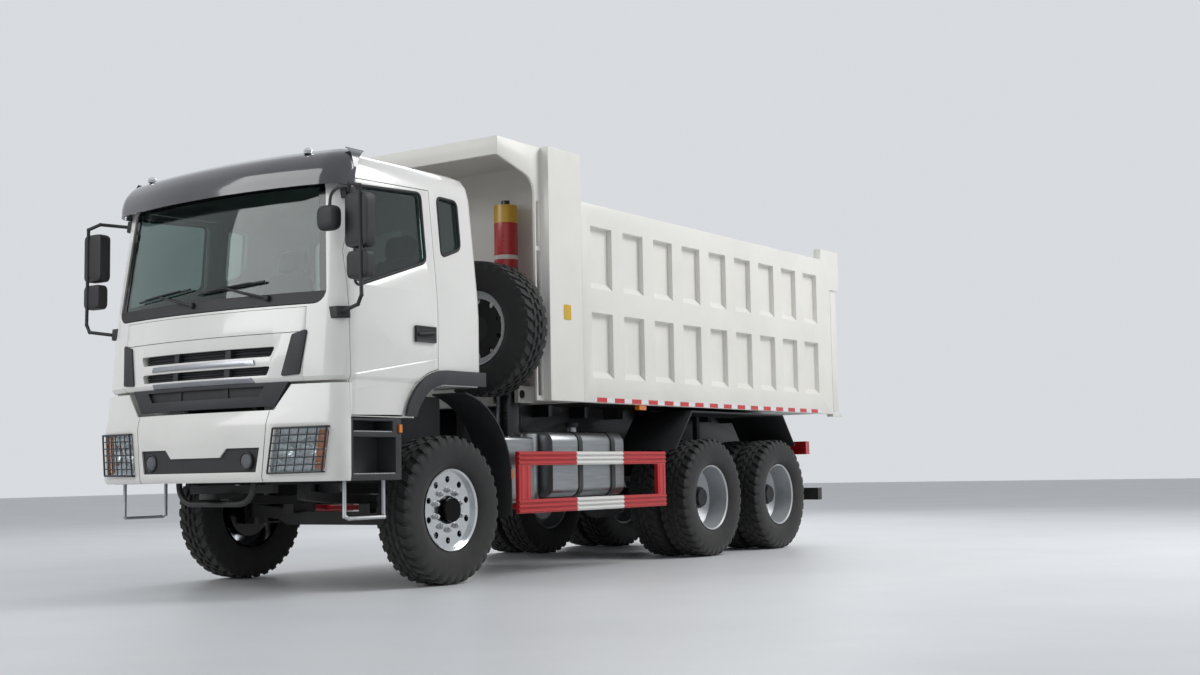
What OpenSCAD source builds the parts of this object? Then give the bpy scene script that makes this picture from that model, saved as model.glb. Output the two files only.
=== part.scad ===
// Three-axle cab-over dump truck with a front hoist, modelled in millimetres.
// The front looks along -Y, the left side is +X, and the ground is Z = 0.
// All modules use a working frame with Y = 0 at the front axle; place() moves it to the middle.

/* [Overall] */
// Front axle to the foremost face of the bumper
front_overhang = 1400; // [1350:5:1450]
// Front axle to first rear axle
wheelbase = 3700; // [3600:10:4200]
// First rear axle to second rear axle
bogie_spacing = 1350; // [1320:10:1450]
// Second rear axle to the end of the tailgate ears
rear_overhang = 1500; // [1450:10:1700]

/* [Wheels] */
// Tyre diameter over the lugs
tyre_od = 1084; // [1040:2:1120]
// Tyre section width
tyre_w = 300; // [280:2:310]
// Depth of the shoulder lugs
lug_h = 15; // [8:1:22]
// Shoulder lugs around one edge of a tyre
lug_count = 36; // [24:2:44]
// Rim flange diameter
rim_d = 597; // [580:1:610]
// Distance between the front wheels' middles
front_track = 2080; // [2020:5:2100]
// Distance between the middles of the twin wheels
rear_track = 1865; // [1840:5:1880]
// Middle to middle of the two wheels of a twin
twin_pitch = 335; // [325:1:345]
// Front wheel middle to its kingpin
kingpin_offset = 180; // [170:1:200]

/* [Frame] */
// Width over the frame rails
frame_w = 850; // [820:5:860]
// Height of the top of the rails
frame_top = 1050; // [1030:5:1060]
// Rail section height
rail_h = 300; // [260:5:320]
// Rail flange width
rail_flange = 80; // [70:1:90]
// Rail plate thickness
rail_t = 12; // [8:1:16]

/* [Cab] */
// Width of the cab over its doors
cab_w = 2440; // [2400:5:2460]
// Height of the cab roof
roof_z = 3060; // [3000:10:3150]
// Back wall of the cab behind the front axle
cab_back = 300; // [260:5:360]
// Thickness of doors and cab walls
cab_wall = 60; // [45:1:70]
// Lower edge of the cab front above the bumper
cab_sill = 1445; // [1440:1:1460]
// Gap around the doors and the front panel
shut_gap = 6; // [5:0.5:8]

/* [Load bed] */
// Width over the bed walls
bed_w = 2490; // [2440:5:2500]
// Thickness of the bed walls
bed_wall = 80; // [60:1:90]
// Underside of the bed's side walls
bed_low = 1370; // [1365:1:1390]
// Top of the bed's side walls
bed_top = 3030; // [2900:10:3150]
// Top of the canopy over the cab
canopy_top = 3420; // [3380:10:3500]
// Front edge of the corner columns behind the front axle
column_y = 1140; // [1130:5:1180]
// Front face of the headboard behind the front axle
headboard_y = 1600; // [1590:5:1640]
// Recessed panels along one wall
panel_count = 9; // [6:1:11]
// Width of a rib between panels
rib_w = 175; // [120:5:200]

/* [Hidden] */
$fn = 48;

white = "#e8e6e1";
dark = "#3c3f44";
black = "#1c1d1f";
steel = "#b9bcc0";
red = "#c8282c";

overall_l = front_overhang + wheelbase + bogie_spacing + rear_overhang;
front_axle_y = front_overhang - overall_l / 2;
rear_1 = wheelbase;
rear_2 = wheelbase + bogie_spacing;
rear_end = rear_2 + rear_overhang;
wheel_r = tyre_od / 2;
fit = 0.3;
run_fit = 0.05;
rail_out = frame_w / 2;
rail_in = rail_out - rail_flange;
rail_low = frame_top - rail_h;
cab_half = cab_w / 2;
bed_half = bed_w / 2;
bed_in = bed_half - bed_wall;

module place() {
    translate([0, front_axle_y, 0]) children();
}

// Corner points, lengths and outlines
function unit(v) = v / norm(v);
function turn(a) = a > 180 ? a - 360 : a < -180 ? a + 360 : a;
function next(i, n) = (i + 1) % n;
function last(i, n) = (i + n - 1) % n;

// Points of the arc that rounds corner p between neighbours a and b with radius r
function corner_arc(a, p, b, r, n) =
    let (u = unit(a - p), v = unit(b - p), g = acos(u * v) / 2)
    let (c = p + unit(u + v) * r / sin(g), s = p + u * r / tan(g), e = p + v * r / tan(g))
    let (a0 = atan2(s.y - c.y, s.x - c.x), sweep = turn(atan2(e.y - c.y, e.x - c.x) - a0))
    [for (k = [0 : n]) c + r * [cos(a0 + sweep * k / n), sin(a0 + sweep * k / n)]];

// Outline with every corner rounded
function rounded(pts, r, n = 5) = let (m = len(pts))
    [for (i = [0 : m - 1]) each corner_arc(pts[last(i, m)], pts[i], pts[next(i, m)], r, n)];

// Convex outline moved inwards by d
function inset(pts, d) = let (m = len(pts)) [for (i = [0 : m - 1])
    let (p = pts[i], u = unit(pts[last(i, m)] - p), v = unit(pts[next(i, m)] - p))
    p + (u + v) * d / sin(acos(u * v))];

// Range d moved by a
function span(a, d) = [a + d[0], a + d[1]];

function arc(c, r, a0, a1, n) = [for (i = [0 : n]) let (a = a0 + (a1 - a0) * i / n) c + r * [cos(a), sin(a)]];

// Plain solids
module box(x, y, z) {
    translate([x[0], y[0], z[0]]) cube([x[1] - x[0], y[1] - y[0], z[1] - z[0]]);
}

// Outline in Y and Z, carried along X
module side_prism(pts, x) {
    translate([x[0], 0, 0]) rotate([90, 0, 90]) linear_extrude(x[1] - x[0]) polygon(pts);
}

// Outline in X and Z, carried along Y
module front_prism(pts, y) {
    translate([0, y[1], 0]) rotate([90, 0, 0]) linear_extrude(y[1] - y[0]) polygon(pts);
}

module rod_x(r, x, y, z) {
    translate([x[0], y, z]) rotate([0, 90, 0]) cylinder(r = r, h = x[1] - x[0]);
}

module rod_y(r, x, y, z) {
    translate([x, y[0], z]) rotate([-90, 0, 0]) cylinder(r = r, h = y[1] - y[0]);
}

module rod_z(r, x, y, z) {
    translate([x, y, z[0]]) cylinder(r = r, h = z[1] - z[0]);
}

// Round bar from p to q
module bar(p, q, r) {
    v = q - p;
    translate(p) rotate([0, acos(v.z / norm(v)), atan2(v.y, v.x)]) cylinder(r = r, h = norm(v), $fn = 24);
}

// Bent tube through a list of points
module tube(pts, r) {
    for (i = [0 : len(pts) - 2]) bar(pts[i], pts[i + 1], r);
    for (i = [1 : len(pts) - 2]) translate(pts[i]) sphere(r = r * 1.12, $fn = 24);
}

module both_sides() {
    children();
    mirror([1, 0, 0]) children();
}

// Closed skin through rings of points of equal count, from the lowest ring to the highest
module loft(rings) {
    n = len(rings[0]);
    m = len(rings);
    polyhedron(
        points = [for (ring = rings) each ring],
        faces = concat(
            [[for (i = [0 : n - 1]) i]],
            [[for (i = [0 : n - 1]) m * n - 1 - i]],
            [for (k = [0 : m - 2], i = [0 : n - 1]) [k * n + i, (k + 1) * n + i, (k + 1) * n + next(i, n)]],
            [for (k = [0 : m - 2], i = [0 : n - 1]) [k * n + i, (k + 1) * n + next(i, n), k * n + next(i, n)]]));
}

// Plan of the cab and bumper: a wide front arc, round front corners, straight sides
front_arc_r = 4500;
function half_plan(front, half, rc, back, rr) =
    let (a = asin((half - rc) / (front_arc_r - rc)), top = front + front_arc_r)
    let (cy = top - (front_arc_r - rc) * cos(a))
    concat(
        [for (i = [0 : 5]) [front_arc_r * sin(a * i / 5), top - front_arc_r * cos(a * i / 5)]],
        [for (i = [1 : 6]) let (t = a + (90 - a) * i / 6) [half - rc + rc * sin(t), cy - rc * cos(t)]],
        rr == 0 ? [[half, back]]
            : [for (i = [0 : 3]) let (t = 30 * i) [half - rr + rr * cos(t), back - rr + rr * sin(t)]]);
function ring(front, half, rc, back, rr, z) = let (h = half_plan(front, half, rc, back, rr))
    concat([for (p = h) [p.x, p.y, z]], [for (i = [len(h) - 1 : -1 : 1]) [-h[i].x, h[i].y, z]]);

// Cab sections: height, front, half width, front corner radius, back
cab_front_y = 35 - front_overhang;
cab_base = 1180;
cab_levels = [
    [cab_base, cab_front_y + 20, cab_half - 14, 180, cab_back],
    [cab_sill, cab_front_y + 20, cab_half - 14, 180, cab_back],
    [cab_sill + 30, cab_front_y, cab_half, 190, cab_back],
    [1960, cab_front_y + 40, cab_half, 185, cab_back],
    [2100, cab_front_y + 58, cab_half - 8, 175, cab_back],
    [2500, cab_front_y + 105, cab_half - 48, 165, cab_back - 2],
    [roof_z - 200, cab_front_y + 150, cab_half - 82, 150, cab_back - 8],
    [roof_z - 110, cab_front_y + 195, cab_half - 102, 140, cab_back - 15],
    [roof_z - 50, cab_front_y + 265, cab_half - 140, 125, cab_back - 30],
    [roof_z - 15, cab_front_y + 370, cab_half - 210, 105, cab_back - 60],
    [roof_z, cab_front_y + 520, cab_half - 320, 80, cab_back - 110]];

// Cab form moved inwards by d, between two rows of the table
module cab_form(d, lo = 0, hi = 10) {
    squash = (roof_z - d - cab_base) / (roof_z - cab_base);
    loft([for (i = [lo : hi]) let (v = cab_levels[i]) ring(v[1] + d, v[2] - d, v[3] - d / 2, v[4] - d, 60 - d / 2,
        cab_base + (v[0] - cab_base) * squash)]);
}

// Layer of the cab form from depth a to depth b
module cab_layer(a, b, lo, hi) {
    difference() {
        cab_form(a, lo, hi);
        cab_form(b, lo, hi);
    }
}

// Side view outlines of the cab, in Y and Z
arch_c = [-140, 1100];
arch_in = 340;
arch_out = 450;
door_front = -1108;
door_back = -205;
door_low = 1205;
door_head = 2872;
bumper_back = door_front - 16;
under_line = concat([[-1700, 0], [-1700, cab_sill], [bumper_back + 8, cab_sill], [bumper_back + 8, 1200]],
    arc(arch_c, arch_in, 163, 90, 8), [[600, arch_c.y + arch_in], [600, 0]]);
floor_line = concat([[-1700, 0], [-1700, cab_sill + 80], [bumper_back + 60, cab_sill + 80], [bumper_back + 60, 1270]],
    arc(arch_c, arch_out + 20, 159, 90, 8), [[600, arch_c.y + arch_out + 20], [600, 0]]);
door_line = concat([[door_front, door_low]],
    arc(arch_c, arch_out + 5, 166.6, 99, 6),
    [[door_back, arch_c.y + arch_out + 1], [door_back, door_head], [-985, door_head - 24], [door_front, 2330]]);
door_window = [[-1050, 2085], [-303, 2325], [-303, door_head - 36], [-990, door_head - 76]];
quarter_window = [[-118, 2385], [104, 2465], [104, door_head - 44], [-118, door_head - 38]];
rear_window = [[-500, 2150], [500, 2150], [500, door_head - 172], [-500, door_head - 172]];
screen_low = 1968;
screen_line = [[-1075, screen_low], [1075, screen_low], [985, door_head - 22], [-985, door_head - 22]];
front_panel = [[-925, cab_sill - 5], [925, cab_sill - 5], [925, screen_low - 16], [-925, screen_low - 16]];
tunnel_half = 400;
tunnel_z = cab_sill + 65 - fit;
tunnel_front = -1180;
// Tilt pins of the cab, in lugs under its front panel
tilt_y = -1265;
tilt_z = cab_sill - 65;
tilt_r = 18;

module cab_skin() {
    difference() {
        cab_form(0);
        difference() {
            cab_form(cab_wall);
            side_prism(floor_line, [-1400, 1400]);
            box([-tunnel_half - 70, tunnel_half + 70], [-1400, 600], [0, tunnel_z + 70]);
        }
        side_prism(under_line, [-1400, 1400]);
        box([-tunnel_half, tunnel_half], [tunnel_front, 600], [0, tunnel_z]);
    }
}

module cab_shell() color(white) {
    difference() {
        cab_skin();
        both_sides() side_prism(door_line, [cab_half - 215, 1400]);
        both_sides() side_prism(rounded(quarter_window, 40), [900, 1400]);
        front_prism(rounded(screen_line, 90), [-1700, -900]);
        front_prism(front_panel, [-1700, -1150]);
        front_prism(rounded(rear_window, 60), [cab_back - 120, cab_back + 50]);
    }
}

// Grille openings: half width at the top, half width at the foot, top, foot
slots = [[690, 655, cab_sill + 245, cab_sill + 177], [660, 632, cab_sill + 111, cab_sill + 49]];
module slot_prism(s) {
    front_prism(rounded([[-s[1], s[3]], [s[1], s[3]], [s[0], s[2]], [-s[0], s[2]]], 12, 3), [-1700, -1100]);
}

module cab_front() color(white) {
    difference() {
        union() {
            intersection() {
                cab_layer(0, cab_wall, 1, 4);
                front_prism(inset(front_panel, shut_gap / 2), [-1700, -1150 - shut_gap]);
            }
            both_sides() side_prism([[tilt_y - 30, cab_sill + 30], [tilt_y + 30, cab_sill + 30], [tilt_y + 30, tilt_z - 30],
                [tilt_y - 30, tilt_z - 30]], [tunnel_half - 15, tunnel_half + 25]);
        }
        for (s = slots) slot_prism(s);
        both_sides() rod_x(tilt_r + run_fit, [tunnel_half - 30, tunnel_half + 40], tilt_y, tilt_z);
    }
}

// Dark inserts behind the grille openings, lower trim with its own opening, side deflectors, arch trims
module cab_trim() color(dark) {
    intersection() {
        cab_layer(cab_wall + fit, cab_wall + 30, 1, 3);
        front_prism([[-760, cab_sill + 35], [760, cab_sill + 35], [760, cab_sill + 275], [-760, cab_sill + 275]], [-1700, -1100]);
    }
    difference() {
        intersection() {
            loft([for (z = [-245, 55]) ring(cab_front_y + 15, cab_half - 10, 220, -900, 5, cab_sill + z)]);
            front_prism([[-690, cab_sill - 163], [690, cab_sill - 163], [800, cab_sill - fit], [-800, cab_sill - fit]], [-1700, -1200]);
        }
        loft([for (z = [-345, 155]) ring(cab_front_y + 45, cab_half - 40, 190, -1000, 5, cab_sill + z)]);
        front_prism([[-550, cab_sill - 93], [550, cab_sill - 93], [600, cab_sill - 25], [-600, cab_sill - 25]], [-1700, -1100]);
    }
    intersection() {
        cab_layer(-14, -fit, 1, 3);
        both_sides() front_prism(rounded([[760, cab_sill + 37], [905, cab_sill + 45], [945, cab_sill + 353], [830, cab_sill + 320]], 14, 3),
            [-1700, -1150]);
    }
    both_sides() side_prism(concat(arc(arch_c, arch_out, 165.5, 90, 8),
        [[cab_back + 15, arch_c.y + arch_out], [cab_back + 15, arch_c.y + arch_in + 5]],
        arc(arch_c, arch_in + 5, 90, 162, 8)), [cab_half + fit, cab_half + 22]);
}

// Bright bars between the grille openings: half width, middle height
bars = [[530, cab_sill + 143], [520, cab_sill + 19]];
module grille_bars() color(steel) {
    intersection() {
        cab_layer(-12, -fit, 1, 3);
        union() {
            for (b = bars) front_prism([[-b[0], b[1] - 18], [b[0], b[1] - 18], [b[0] - 15, b[1] + 18], [15 - b[0], b[1] + 18]],
                [-1700, -1200]);
        }
    }
}

module pane(d) {
    cab_layer(d, d + 8, 3, 7);
}

module windscreen() color("#7d8b90", 0.5) {
    intersection() {
        pane(14);
        front_prism(rounded(inset(screen_line, fit), 90), [-1700, -900]);
    }
}

module cab_glass() color("#7d8b90", 0.5) {
    intersection() {
        pane(18);
        both_sides() side_prism(rounded(inset(quarter_window, fit), 40), [900, 1400]);
    }
    front_prism(rounded(inset(rear_window, fit), 60), [cab_back - 32, cab_back - 24]);
}

module door_panel() {
    intersection() {
        difference() {
            cab_layer(0, cab_wall, 0, 7);
            side_prism(rounded(door_window, 45), [900, 1400]);
        }
        side_prism(inset_door(), [900, 1400]);
    }
    // Recessed pull handle
    box([cab_half + fit, cab_half + 14], [-458, -256], [1745, 1848]);
}

// Door outline kept clear of its opening
function inset_door() = concat([[door_front + shut_gap, door_low + shut_gap]],
    arc(arch_c, arch_out + 5 + shut_gap, 165, 100, 6),
    [[door_back - shut_gap, arch_c.y + arch_out + shut_gap], [door_back - shut_gap, door_head - shut_gap],
    [-982, door_head - 24 - shut_gap], [door_front + shut_gap, 2328]]);

module door_pane() {
    intersection() {
        pane(20);
        side_prism(rounded(inset(door_window, fit), 45), [900, 1400]);
    }
}

module door_left() color(white) door_panel();
module door_right() color(white) mirror([1, 0, 0]) door_panel();
module door_glass_left() color("#7d8b90", 0.5) door_pane();
module door_glass_right() color("#7d8b90", 0.5) mirror([1, 0, 0]) door_pane();

// Visor sections: height, front, half width, corner radius
visor_levels = [[2785, -1330, 1166, 205], [2860, -1322, 1168, 205], [2940, -1290, 1162, 200],
    [3015, -1220, 1140, 190], [3066, -1110, 1090, 170]];
module visor() color("#55565c") {
    difference() {
        loft([for (v = visor_levels) ring(v[1], v[2], v[3], -600, 5, v[0])]);
        // Hollow with four stays left standing between the skin and the cab
        difference() {
            loft([for (v = visor_levels) ring(v[1] + 25, v[2] - 25, v[3] - 12, -500, 5, v[0] - 25)]);
            both_sides() for (x = [330, 840]) box([x - 12, x + 12], [-1400, -900], [2835, 2865]);
        }
        cab_form(-fit, 5, 10);
        box([-1400, 1400], [-1016, 0], [2600, 3300]);
    }
}

// Mirror arm, its pads on the cab's corner, and two heads
module mirrors() color(black) {
    both_sides() {
        tube([[1140, -1045, 2735], [1300, -1205, 2755], [1415, -1225, 2725], [1425, -1225, 1990], [1390, -1223, 1930],
            [1195, -1165, 1900]], 13);
        front_prism(rounded([[1275, 2320], [1465, 2320], [1465, 2680], [1275, 2680]], 40), [-1222, -1130]);
        front_prism(rounded([[1290, 2110], [1465, 2110], [1465, 2290], [1290, 2290]], 40), [-1222, -1140]);
    }
    intersection() {
        cab_layer(-28, -fit, 2, 7);
        both_sides() {
            box([1000, 1300], [-1190, -1122], [1860, 1940]);
            box([1000, 1300], [-1078, -1014], [2695, 2775]);
        }
    }
}

module dashboard() color(dark) {
    intersection() {
        side_prism([[-1140, cab_sill + 135], [-930, cab_sill + 135], [-860, 1900], [-900, 2000], [-1120, 2030], [-1205, 2020],
            [-1205, cab_sill + 315], [-1140, cab_sill + 290]], [-1090, 1090]);
        cab_form(cab_wall + fit);
    }
    bar([560, -900, 1830], [560, -720, 2010], 28);
    translate([560, -716, 2014]) rotate([45, 0, 0]) {
        rotate_extrude() translate([225, 0]) circle(r = 17);
        cylinder(r = 60, h = 40, center = true);
        for (a = [90, 210, 330]) rotate([0, 0, a]) translate([0, -15, -8]) cube([225, 30, 16]);
    }
}

module seats() color(black) both_sides() {
    side_prism(rounded([[-560, 1600], [-50, 1600], [-40, 1740], [-560, 1780]], 50), [310, 850]);
    side_prism(rounded([[-165, 1650], [-20, 1650], [160, 2480], [40, 2500]], 45), [310, 850]);
    box([480, 680], [-420, -100], [1570, 1602]);
}

// Rubber section: radius and half width from bead to tread, then the revolve
module tyre_body() {
    bead = rim_d / 2 - 6;
    tread = wheel_r - lug_h;
    half = tyre_w / 2;
    rotate_extrude($fn = 72) polygon([[bead, half - 45], [bead + 30, half - 26], [bead + 85, half - 4],
        [bead + 135, half], [tread - 60, half - 8], [tread - 12, half - 18], [tread, half - 30],
        [tread, 30 - half], [tread - 12, 18 - half], [tread - 60, 8 - half], [bead + 135, -half],
        [bead + 85, 4 - half], [bead + 30, 26 - half], [bead, 45 - half]]);
}

// Toothed band of shoulder lugs
module lug_band(z, phase) {
    pitch = 360 / lug_count;
    translate([0, 0, z]) rotate(phase) linear_extrude(tyre_w * 0.29) difference() {
        polygon([for (i = [0 : lug_count - 1]) each [
            for (s = [[0.2, -lug_h - 4], [0.24, 0], [0.76, 0], [0.8, -lug_h - 4]])
                (wheel_r + s[1]) * [cos((i + s[0]) * pitch), sin((i + s[0]) * pitch)]]]);
        circle(r = wheel_r - lug_h - 25);
    }
}

// Tyre about the X axis
module tyre() {
    rotate([0, 90, 0]) {
        tyre_body();
        lug_band(tyre_w * 0.09, -0.24 * 360 / lug_count);
        lug_band(-tyre_w * 0.38, -0.76 * 360 / lug_count);
    }
}

// Rim about the X axis, its disc shifted from the middle along +X
module rim(shift) {
    rr = rim_d / 2;
    root = max(-85, min(85, shift));
    lip = tyre_w / 2 - 39;
    rotate([0, 90, 0]) difference() {
        rotate_extrude($fn = 72) {
            polygon([[rr - 14, -lip], [rr, -lip - 9], [rr, -lip], [rr - 6 - fit, 1 - lip], [rr - 6 - fit, lip - 1],
                [rr, lip], [rr, lip + 9], [rr - 14, lip]]);
            polygon([[rr - 10, root - 12], [rr - 10, root + 12], [190, shift + 9], [100, shift + 9],
                [100, shift - 9], [186, shift - 9]]);
        }
        for (i = [0 : 9]) rotate(36 * i) translate([222, 0, shift - 90]) cylinder(r = 24, h = 240, $fn = 24);
    }
}

hub_bore = 60;
// Front wheel about the X axis: rim with hub, drum and nut ring
module front_wheel() {
    rim(70);
    difference() {
        union() {
            rod_x(100 + fit, [10, 95], 0, 0);
            rod_x(88, [95, 132], 0, 0);
            rod_x(205, [-85, 10], 0, 0);
            for (i = [0 : 9]) rotate([36 * i + 18, 0, 0]) rod_x(14, [60, 112], 145, 0);
        }
        rod_x(hub_bore + run_fit, [-100, 90], 0, 0);
    }
}

// Twin wheels about the X axis: two rims back to back on one hub, outer side +X
module rear_wheels() {
    difference() {
        union() {
            translate([twin_pitch / 2, 0, 0]) rim(9 - twin_pitch / 2);
            translate([-twin_pitch / 2, 0, 0]) mirror([1, 0, 0]) rim(9 - twin_pitch / 2);
            rod_x(100 + fit, [-10, 150], 0, 0);
            rod_x(80, [150, 185], 0, 0);
            rod_x(205, [-200, -10], 0, 0);
            for (i = [0 : 9]) rotate([36 * i + 18, 0, 0]) rod_x(14, [-5, 72], 145, 0);
        }
        rod_x(hub_bore + run_fit, [-260, 140], 0, 0);
    }
}

module rear_tyres() {
    for (s = [-1, 1]) translate([s * twin_pitch / 2, 0, 0]) tyre();
}

module at_front(side) translate([side * front_track / 2, 0, wheel_r]) mirror([side < 0 ? 1 : 0, 0, 0]) children();
module at_rear(side, y) translate([side * rear_track / 2, y, wheel_r]) mirror([side < 0 ? 1 : 0, 0, 0]) children();

module front_tyre_left() color(black) at_front(1) tyre();
module front_tyre_right() color(black) at_front(-1) tyre();
module front_wheel_left() color(steel) at_front(1) front_wheel();
module front_wheel_right() color(steel) at_front(-1) front_wheel();
module rear_tyres_left_1() color(black) at_rear(1, rear_1) rear_tyres();
module rear_tyres_right_1() color(black) at_rear(-1, rear_1) rear_tyres();
module rear_tyres_left_2() color(black) at_rear(1, rear_2) rear_tyres();
module rear_tyres_right_2() color(black) at_rear(-1, rear_2) rear_tyres();
module rear_wheels_left_1() color(steel) at_rear(1, rear_1) rear_wheels();
module rear_wheels_right_1() color(steel) at_rear(-1, rear_1) rear_wheels();
module rear_wheels_left_2() color(steel) at_rear(1, rear_2) rear_wheels();
module rear_wheels_right_2() color(steel) at_rear(-1, rear_2) rear_wheels();

// Steering: kingpin fixed in the axle, knuckle ears above and below the axle's eye
kingpin_x = front_track / 2 - kingpin_offset;
kingpin_r = 25;
eye_r = 52;
eye_half = 58;
ear_t = 45;
module knuckle() {
    difference() {
        union() {
            for (z = [-eye_half - 5 - ear_t, eye_half + 5]) {
                rod_z(46, kingpin_x, 0, span(wheel_r, [z, z + ear_t]));
                box([kingpin_x, kingpin_x + 84], [-40, 40], span(wheel_r, [z, z + ear_t]));
            }
            box([kingpin_x + 64, kingpin_x + 84], [-60, 60], span(wheel_r, [-eye_half - 5 - ear_t, eye_half + 5 + ear_t]));
            rod_x(hub_bore, [kingpin_x + 80, front_track / 2 + 80], 0, wheel_r);
            box([kingpin_x - 20, kingpin_x + 20], [30, 230], span(wheel_r, [-eye_half - 5 - ear_t, -eye_half - 35]));
        }
        rod_z(kingpin_r + run_fit, kingpin_x, 0, span(wheel_r, [-200, 200]));
    }
}
module knuckle_left() color(black) knuckle();
module knuckle_right() color(black) mirror([1, 0, 0]) knuckle();

// Leaf pack: bowed strip seen from the side
module leaf_pack(x, y, z, half_l, w, h) {
    bow = 6000;
    translate([x - w / 2, y, z]) rotate([90, 0, 90]) linear_extrude(w) intersection() {
        difference() {
            translate([0, bow]) circle(r = bow + h, $fn = 180);
            translate([0, bow]) circle(r = bow, $fn = 180);
        }
        translate([-half_l, -h - 1]) square([2 * half_l, 400]);
    }
}

front_spring_x = 400;
front_spring_z = 690;
module front_axle() color(black) {
    difference() {
        union() {
            // Dropped beam between the eyes
            front_prism([[-kingpin_x, wheel_r - 45], [-560, 470], [-480, 430], [480, 430], [560, 470], [kingpin_x, wheel_r - 45],
                [kingpin_x, wheel_r + 45], [540, 560], [480, 530], [-480, 530], [-540, 560], [-kingpin_x, wheel_r + 45]], [-50, 50]);
            both_sides() rod_z(eye_r, kingpin_x, 0, span(wheel_r, [-eye_half, eye_half]));
            both_sides() box([front_spring_x - 55, front_spring_x + 55], [-110, 110], [520, 600]);
            both_sides() leaf_pack(front_spring_x, 0, 655, 760, 90, 65);
        }
    }
    both_sides() rod_z(kingpin_r, kingpin_x, 0, span(wheel_r, [-eye_half - 5 - ear_t, eye_half + 5 + ear_t]));
    // Spring hangers up to the rails
    both_sides() for (y = [-735, 735]) box([front_spring_x - 40, front_spring_x + 40], [y - 25, y + 25], [690, rail_low]);
}

trunnion_y = (rear_1 + rear_2) / 2;
rear_spring_x = 475;
module rear_bogie() color(black) {
    for (y = [rear_1, rear_2]) {
        rod_x(80, [-rear_track / 2 + 265, rear_track / 2 - 265], y, wheel_r);
        rod_x(hub_bore, [-rear_track / 2 - 130, rear_track / 2 + 130], y, wheel_r);
        rod_y(190, 0, [y - 130, y + 130], wheel_r);
        rod_y(150, 0, [y - 130, y + 165], wheel_r);
        rod_y(90, 0, [y - 330, y], wheel_r);
        both_sides() box([rear_spring_x - 50, rear_spring_x + 50], [y - 90, y + 90], [wheel_r, 690]);
    }
    both_sides() {
        box([rear_spring_x - 45, rear_spring_x + 45], [rear_1 - 120, rear_2 + 120], [690, 760]);
        box([rear_spring_x - 45, rear_spring_x + 45], [rear_1 + 250, rear_2 - 250], [760, 810]);
        box([rear_spring_x - 60, rear_spring_x + 60], [trunnion_y - 90, trunnion_y + 90], [560, 700]);
        box([rail_out, rear_spring_x - 44], [trunnion_y - 150, trunnion_y + 150], [560, 900]);
    }
    both_sides() rod_x(65, [rail_out - 60, rear_spring_x + 75], trunnion_y, 620);
}

frame_front = -1060;
rail_back = rear_2 + 1000;
module frame_rails() color(black) both_sides() difference() {
    box([rail_in, rail_out], [frame_front, rail_back], [rail_low, frame_top]);
    box([rail_in - 1, rail_out - rail_t], [frame_front - 1, rail_back + 1], [rail_low + rail_t, frame_top - rail_t]);
}

// Cross members inside the rails: place along Y, depth along Y, height of the lower face, height of the upper face
cross_table = [[-960, 90, 762, 790], [-560, 90, 762, 790], [250, 90, 762, 790], [1250, 70, 880, 1038],
    [2300, 70, 880, 1038], [3250, 70, 880, 1038], [4375, 120, 880, 1038], [5500, 70, 880, 1038]];
module cross_members() color(black) {
    for (c = cross_table)
        box([rail_t - rail_out, rail_out - rail_t], [c[0] - c[1] / 2, c[0] + c[1] / 2], [c[2], c[3]]);
    // Front member under the rails with its tow eye
    box([-rail_out, rail_out], [frame_front, frame_front + 50], [690, rail_low]);
    difference() {
        union() {
            box([-70, 70], [-1255, frame_front + 50], [655, 695]);
            rod_z(70, 0, -1255, [655, 695]);
        }
        rod_z(22, 0, -1255, [600, 800]);
    }
    // Rear member with its tow eye
    box([rail_t - rail_out, rail_out - rail_t], [rail_back - 90, rail_back], [800, 1000]);
    difference() {
        union() {
            box([-80, 80], [rail_back - 10, rail_back + 60], [870, 915]);
            rod_z(80, 0, rail_back + 60, [870, 915]);
        }
        rod_z(25, 0, rail_back + 60, [800, 1000]);
    }
    // Underrun bar and its arms
    box([-1200, 1200], [rail_back - 75, rail_back + 15], [462, 587]);
    both_sides() box([rail_in, rail_out], [rail_back - 75, rail_back - 15], [587, rail_low]);
}

// Plates and pins that carry the bed and the hoist's foot
hinge_y = rail_back - 30;
hinge_z = 1150;
hinge_r = 40;
hoist_x = 580;
hoist_y = 1440;
hoist_foot_z = 950;
hoist_top_z = 1450;
module brackets() color(black) {
    both_sides() {
        side_prism(rounded([[hinge_y - 190, 800], [hinge_y + 28, 800], [hinge_y + 75, 1130], [hinge_y, 1235], [hinge_y - 75, 1130]], 25, 4),
            [rail_out, rail_out + 22]);
        rod_x(hinge_r, [rail_in - 12, rail_out + 22], hinge_y, hinge_z);
    }
    // Arms with the cab's tilt pins
    both_sides() {
        side_prism(rounded([[tilt_y + 212, frame_top], [tilt_y + 365, frame_top], [tilt_y + 305, tilt_z - 100],
            [tilt_y + 22, tilt_z + 22], [tilt_y - 22, tilt_z + 20], [tilt_y - 20, tilt_z - 24],
            [tilt_y + 212, tilt_z - 170]], 10, 3), [rail_in - 10, rail_in + 26]);
        rod_x(tilt_r, [rail_in - 10, tunnel_half + 32], tilt_y, tilt_z);
    }
    // Foot of the hoist: a shelf on the left rail with an ear on each side of the rod's eye
    box([rail_out, hoist_x + 115], [hoist_y - 80, hoist_y + 80], [800, 895]);
    for (x = [hoist_x - 115, hoist_x + 75]) box([x, x + 40], [hoist_y - 70, hoist_y + 70], [895, 1005]);
    // Spare wheel post, arm and hub plate
    box([rail_in, rail_out], [1050, 1120], [frame_top, 2000]);
    box([rail_out, spare_x + 90], [1050, 1120], [1905, 2000]);
    rod_y(150, spare_x, [spare_y - 61 + fit, 1050], spare_z);
}

// Bumper sections: height, front, half width
bumper_levels = [[770, 18, cab_half + 2], [800, 0, cab_half + 12], [cab_sill - 280, 0, cab_half + 12],
    [cab_sill - 183, 28, cab_half + 6], [cab_sill - 20, 32, cab_half + 2]];
bumper_r = 125;
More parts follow.
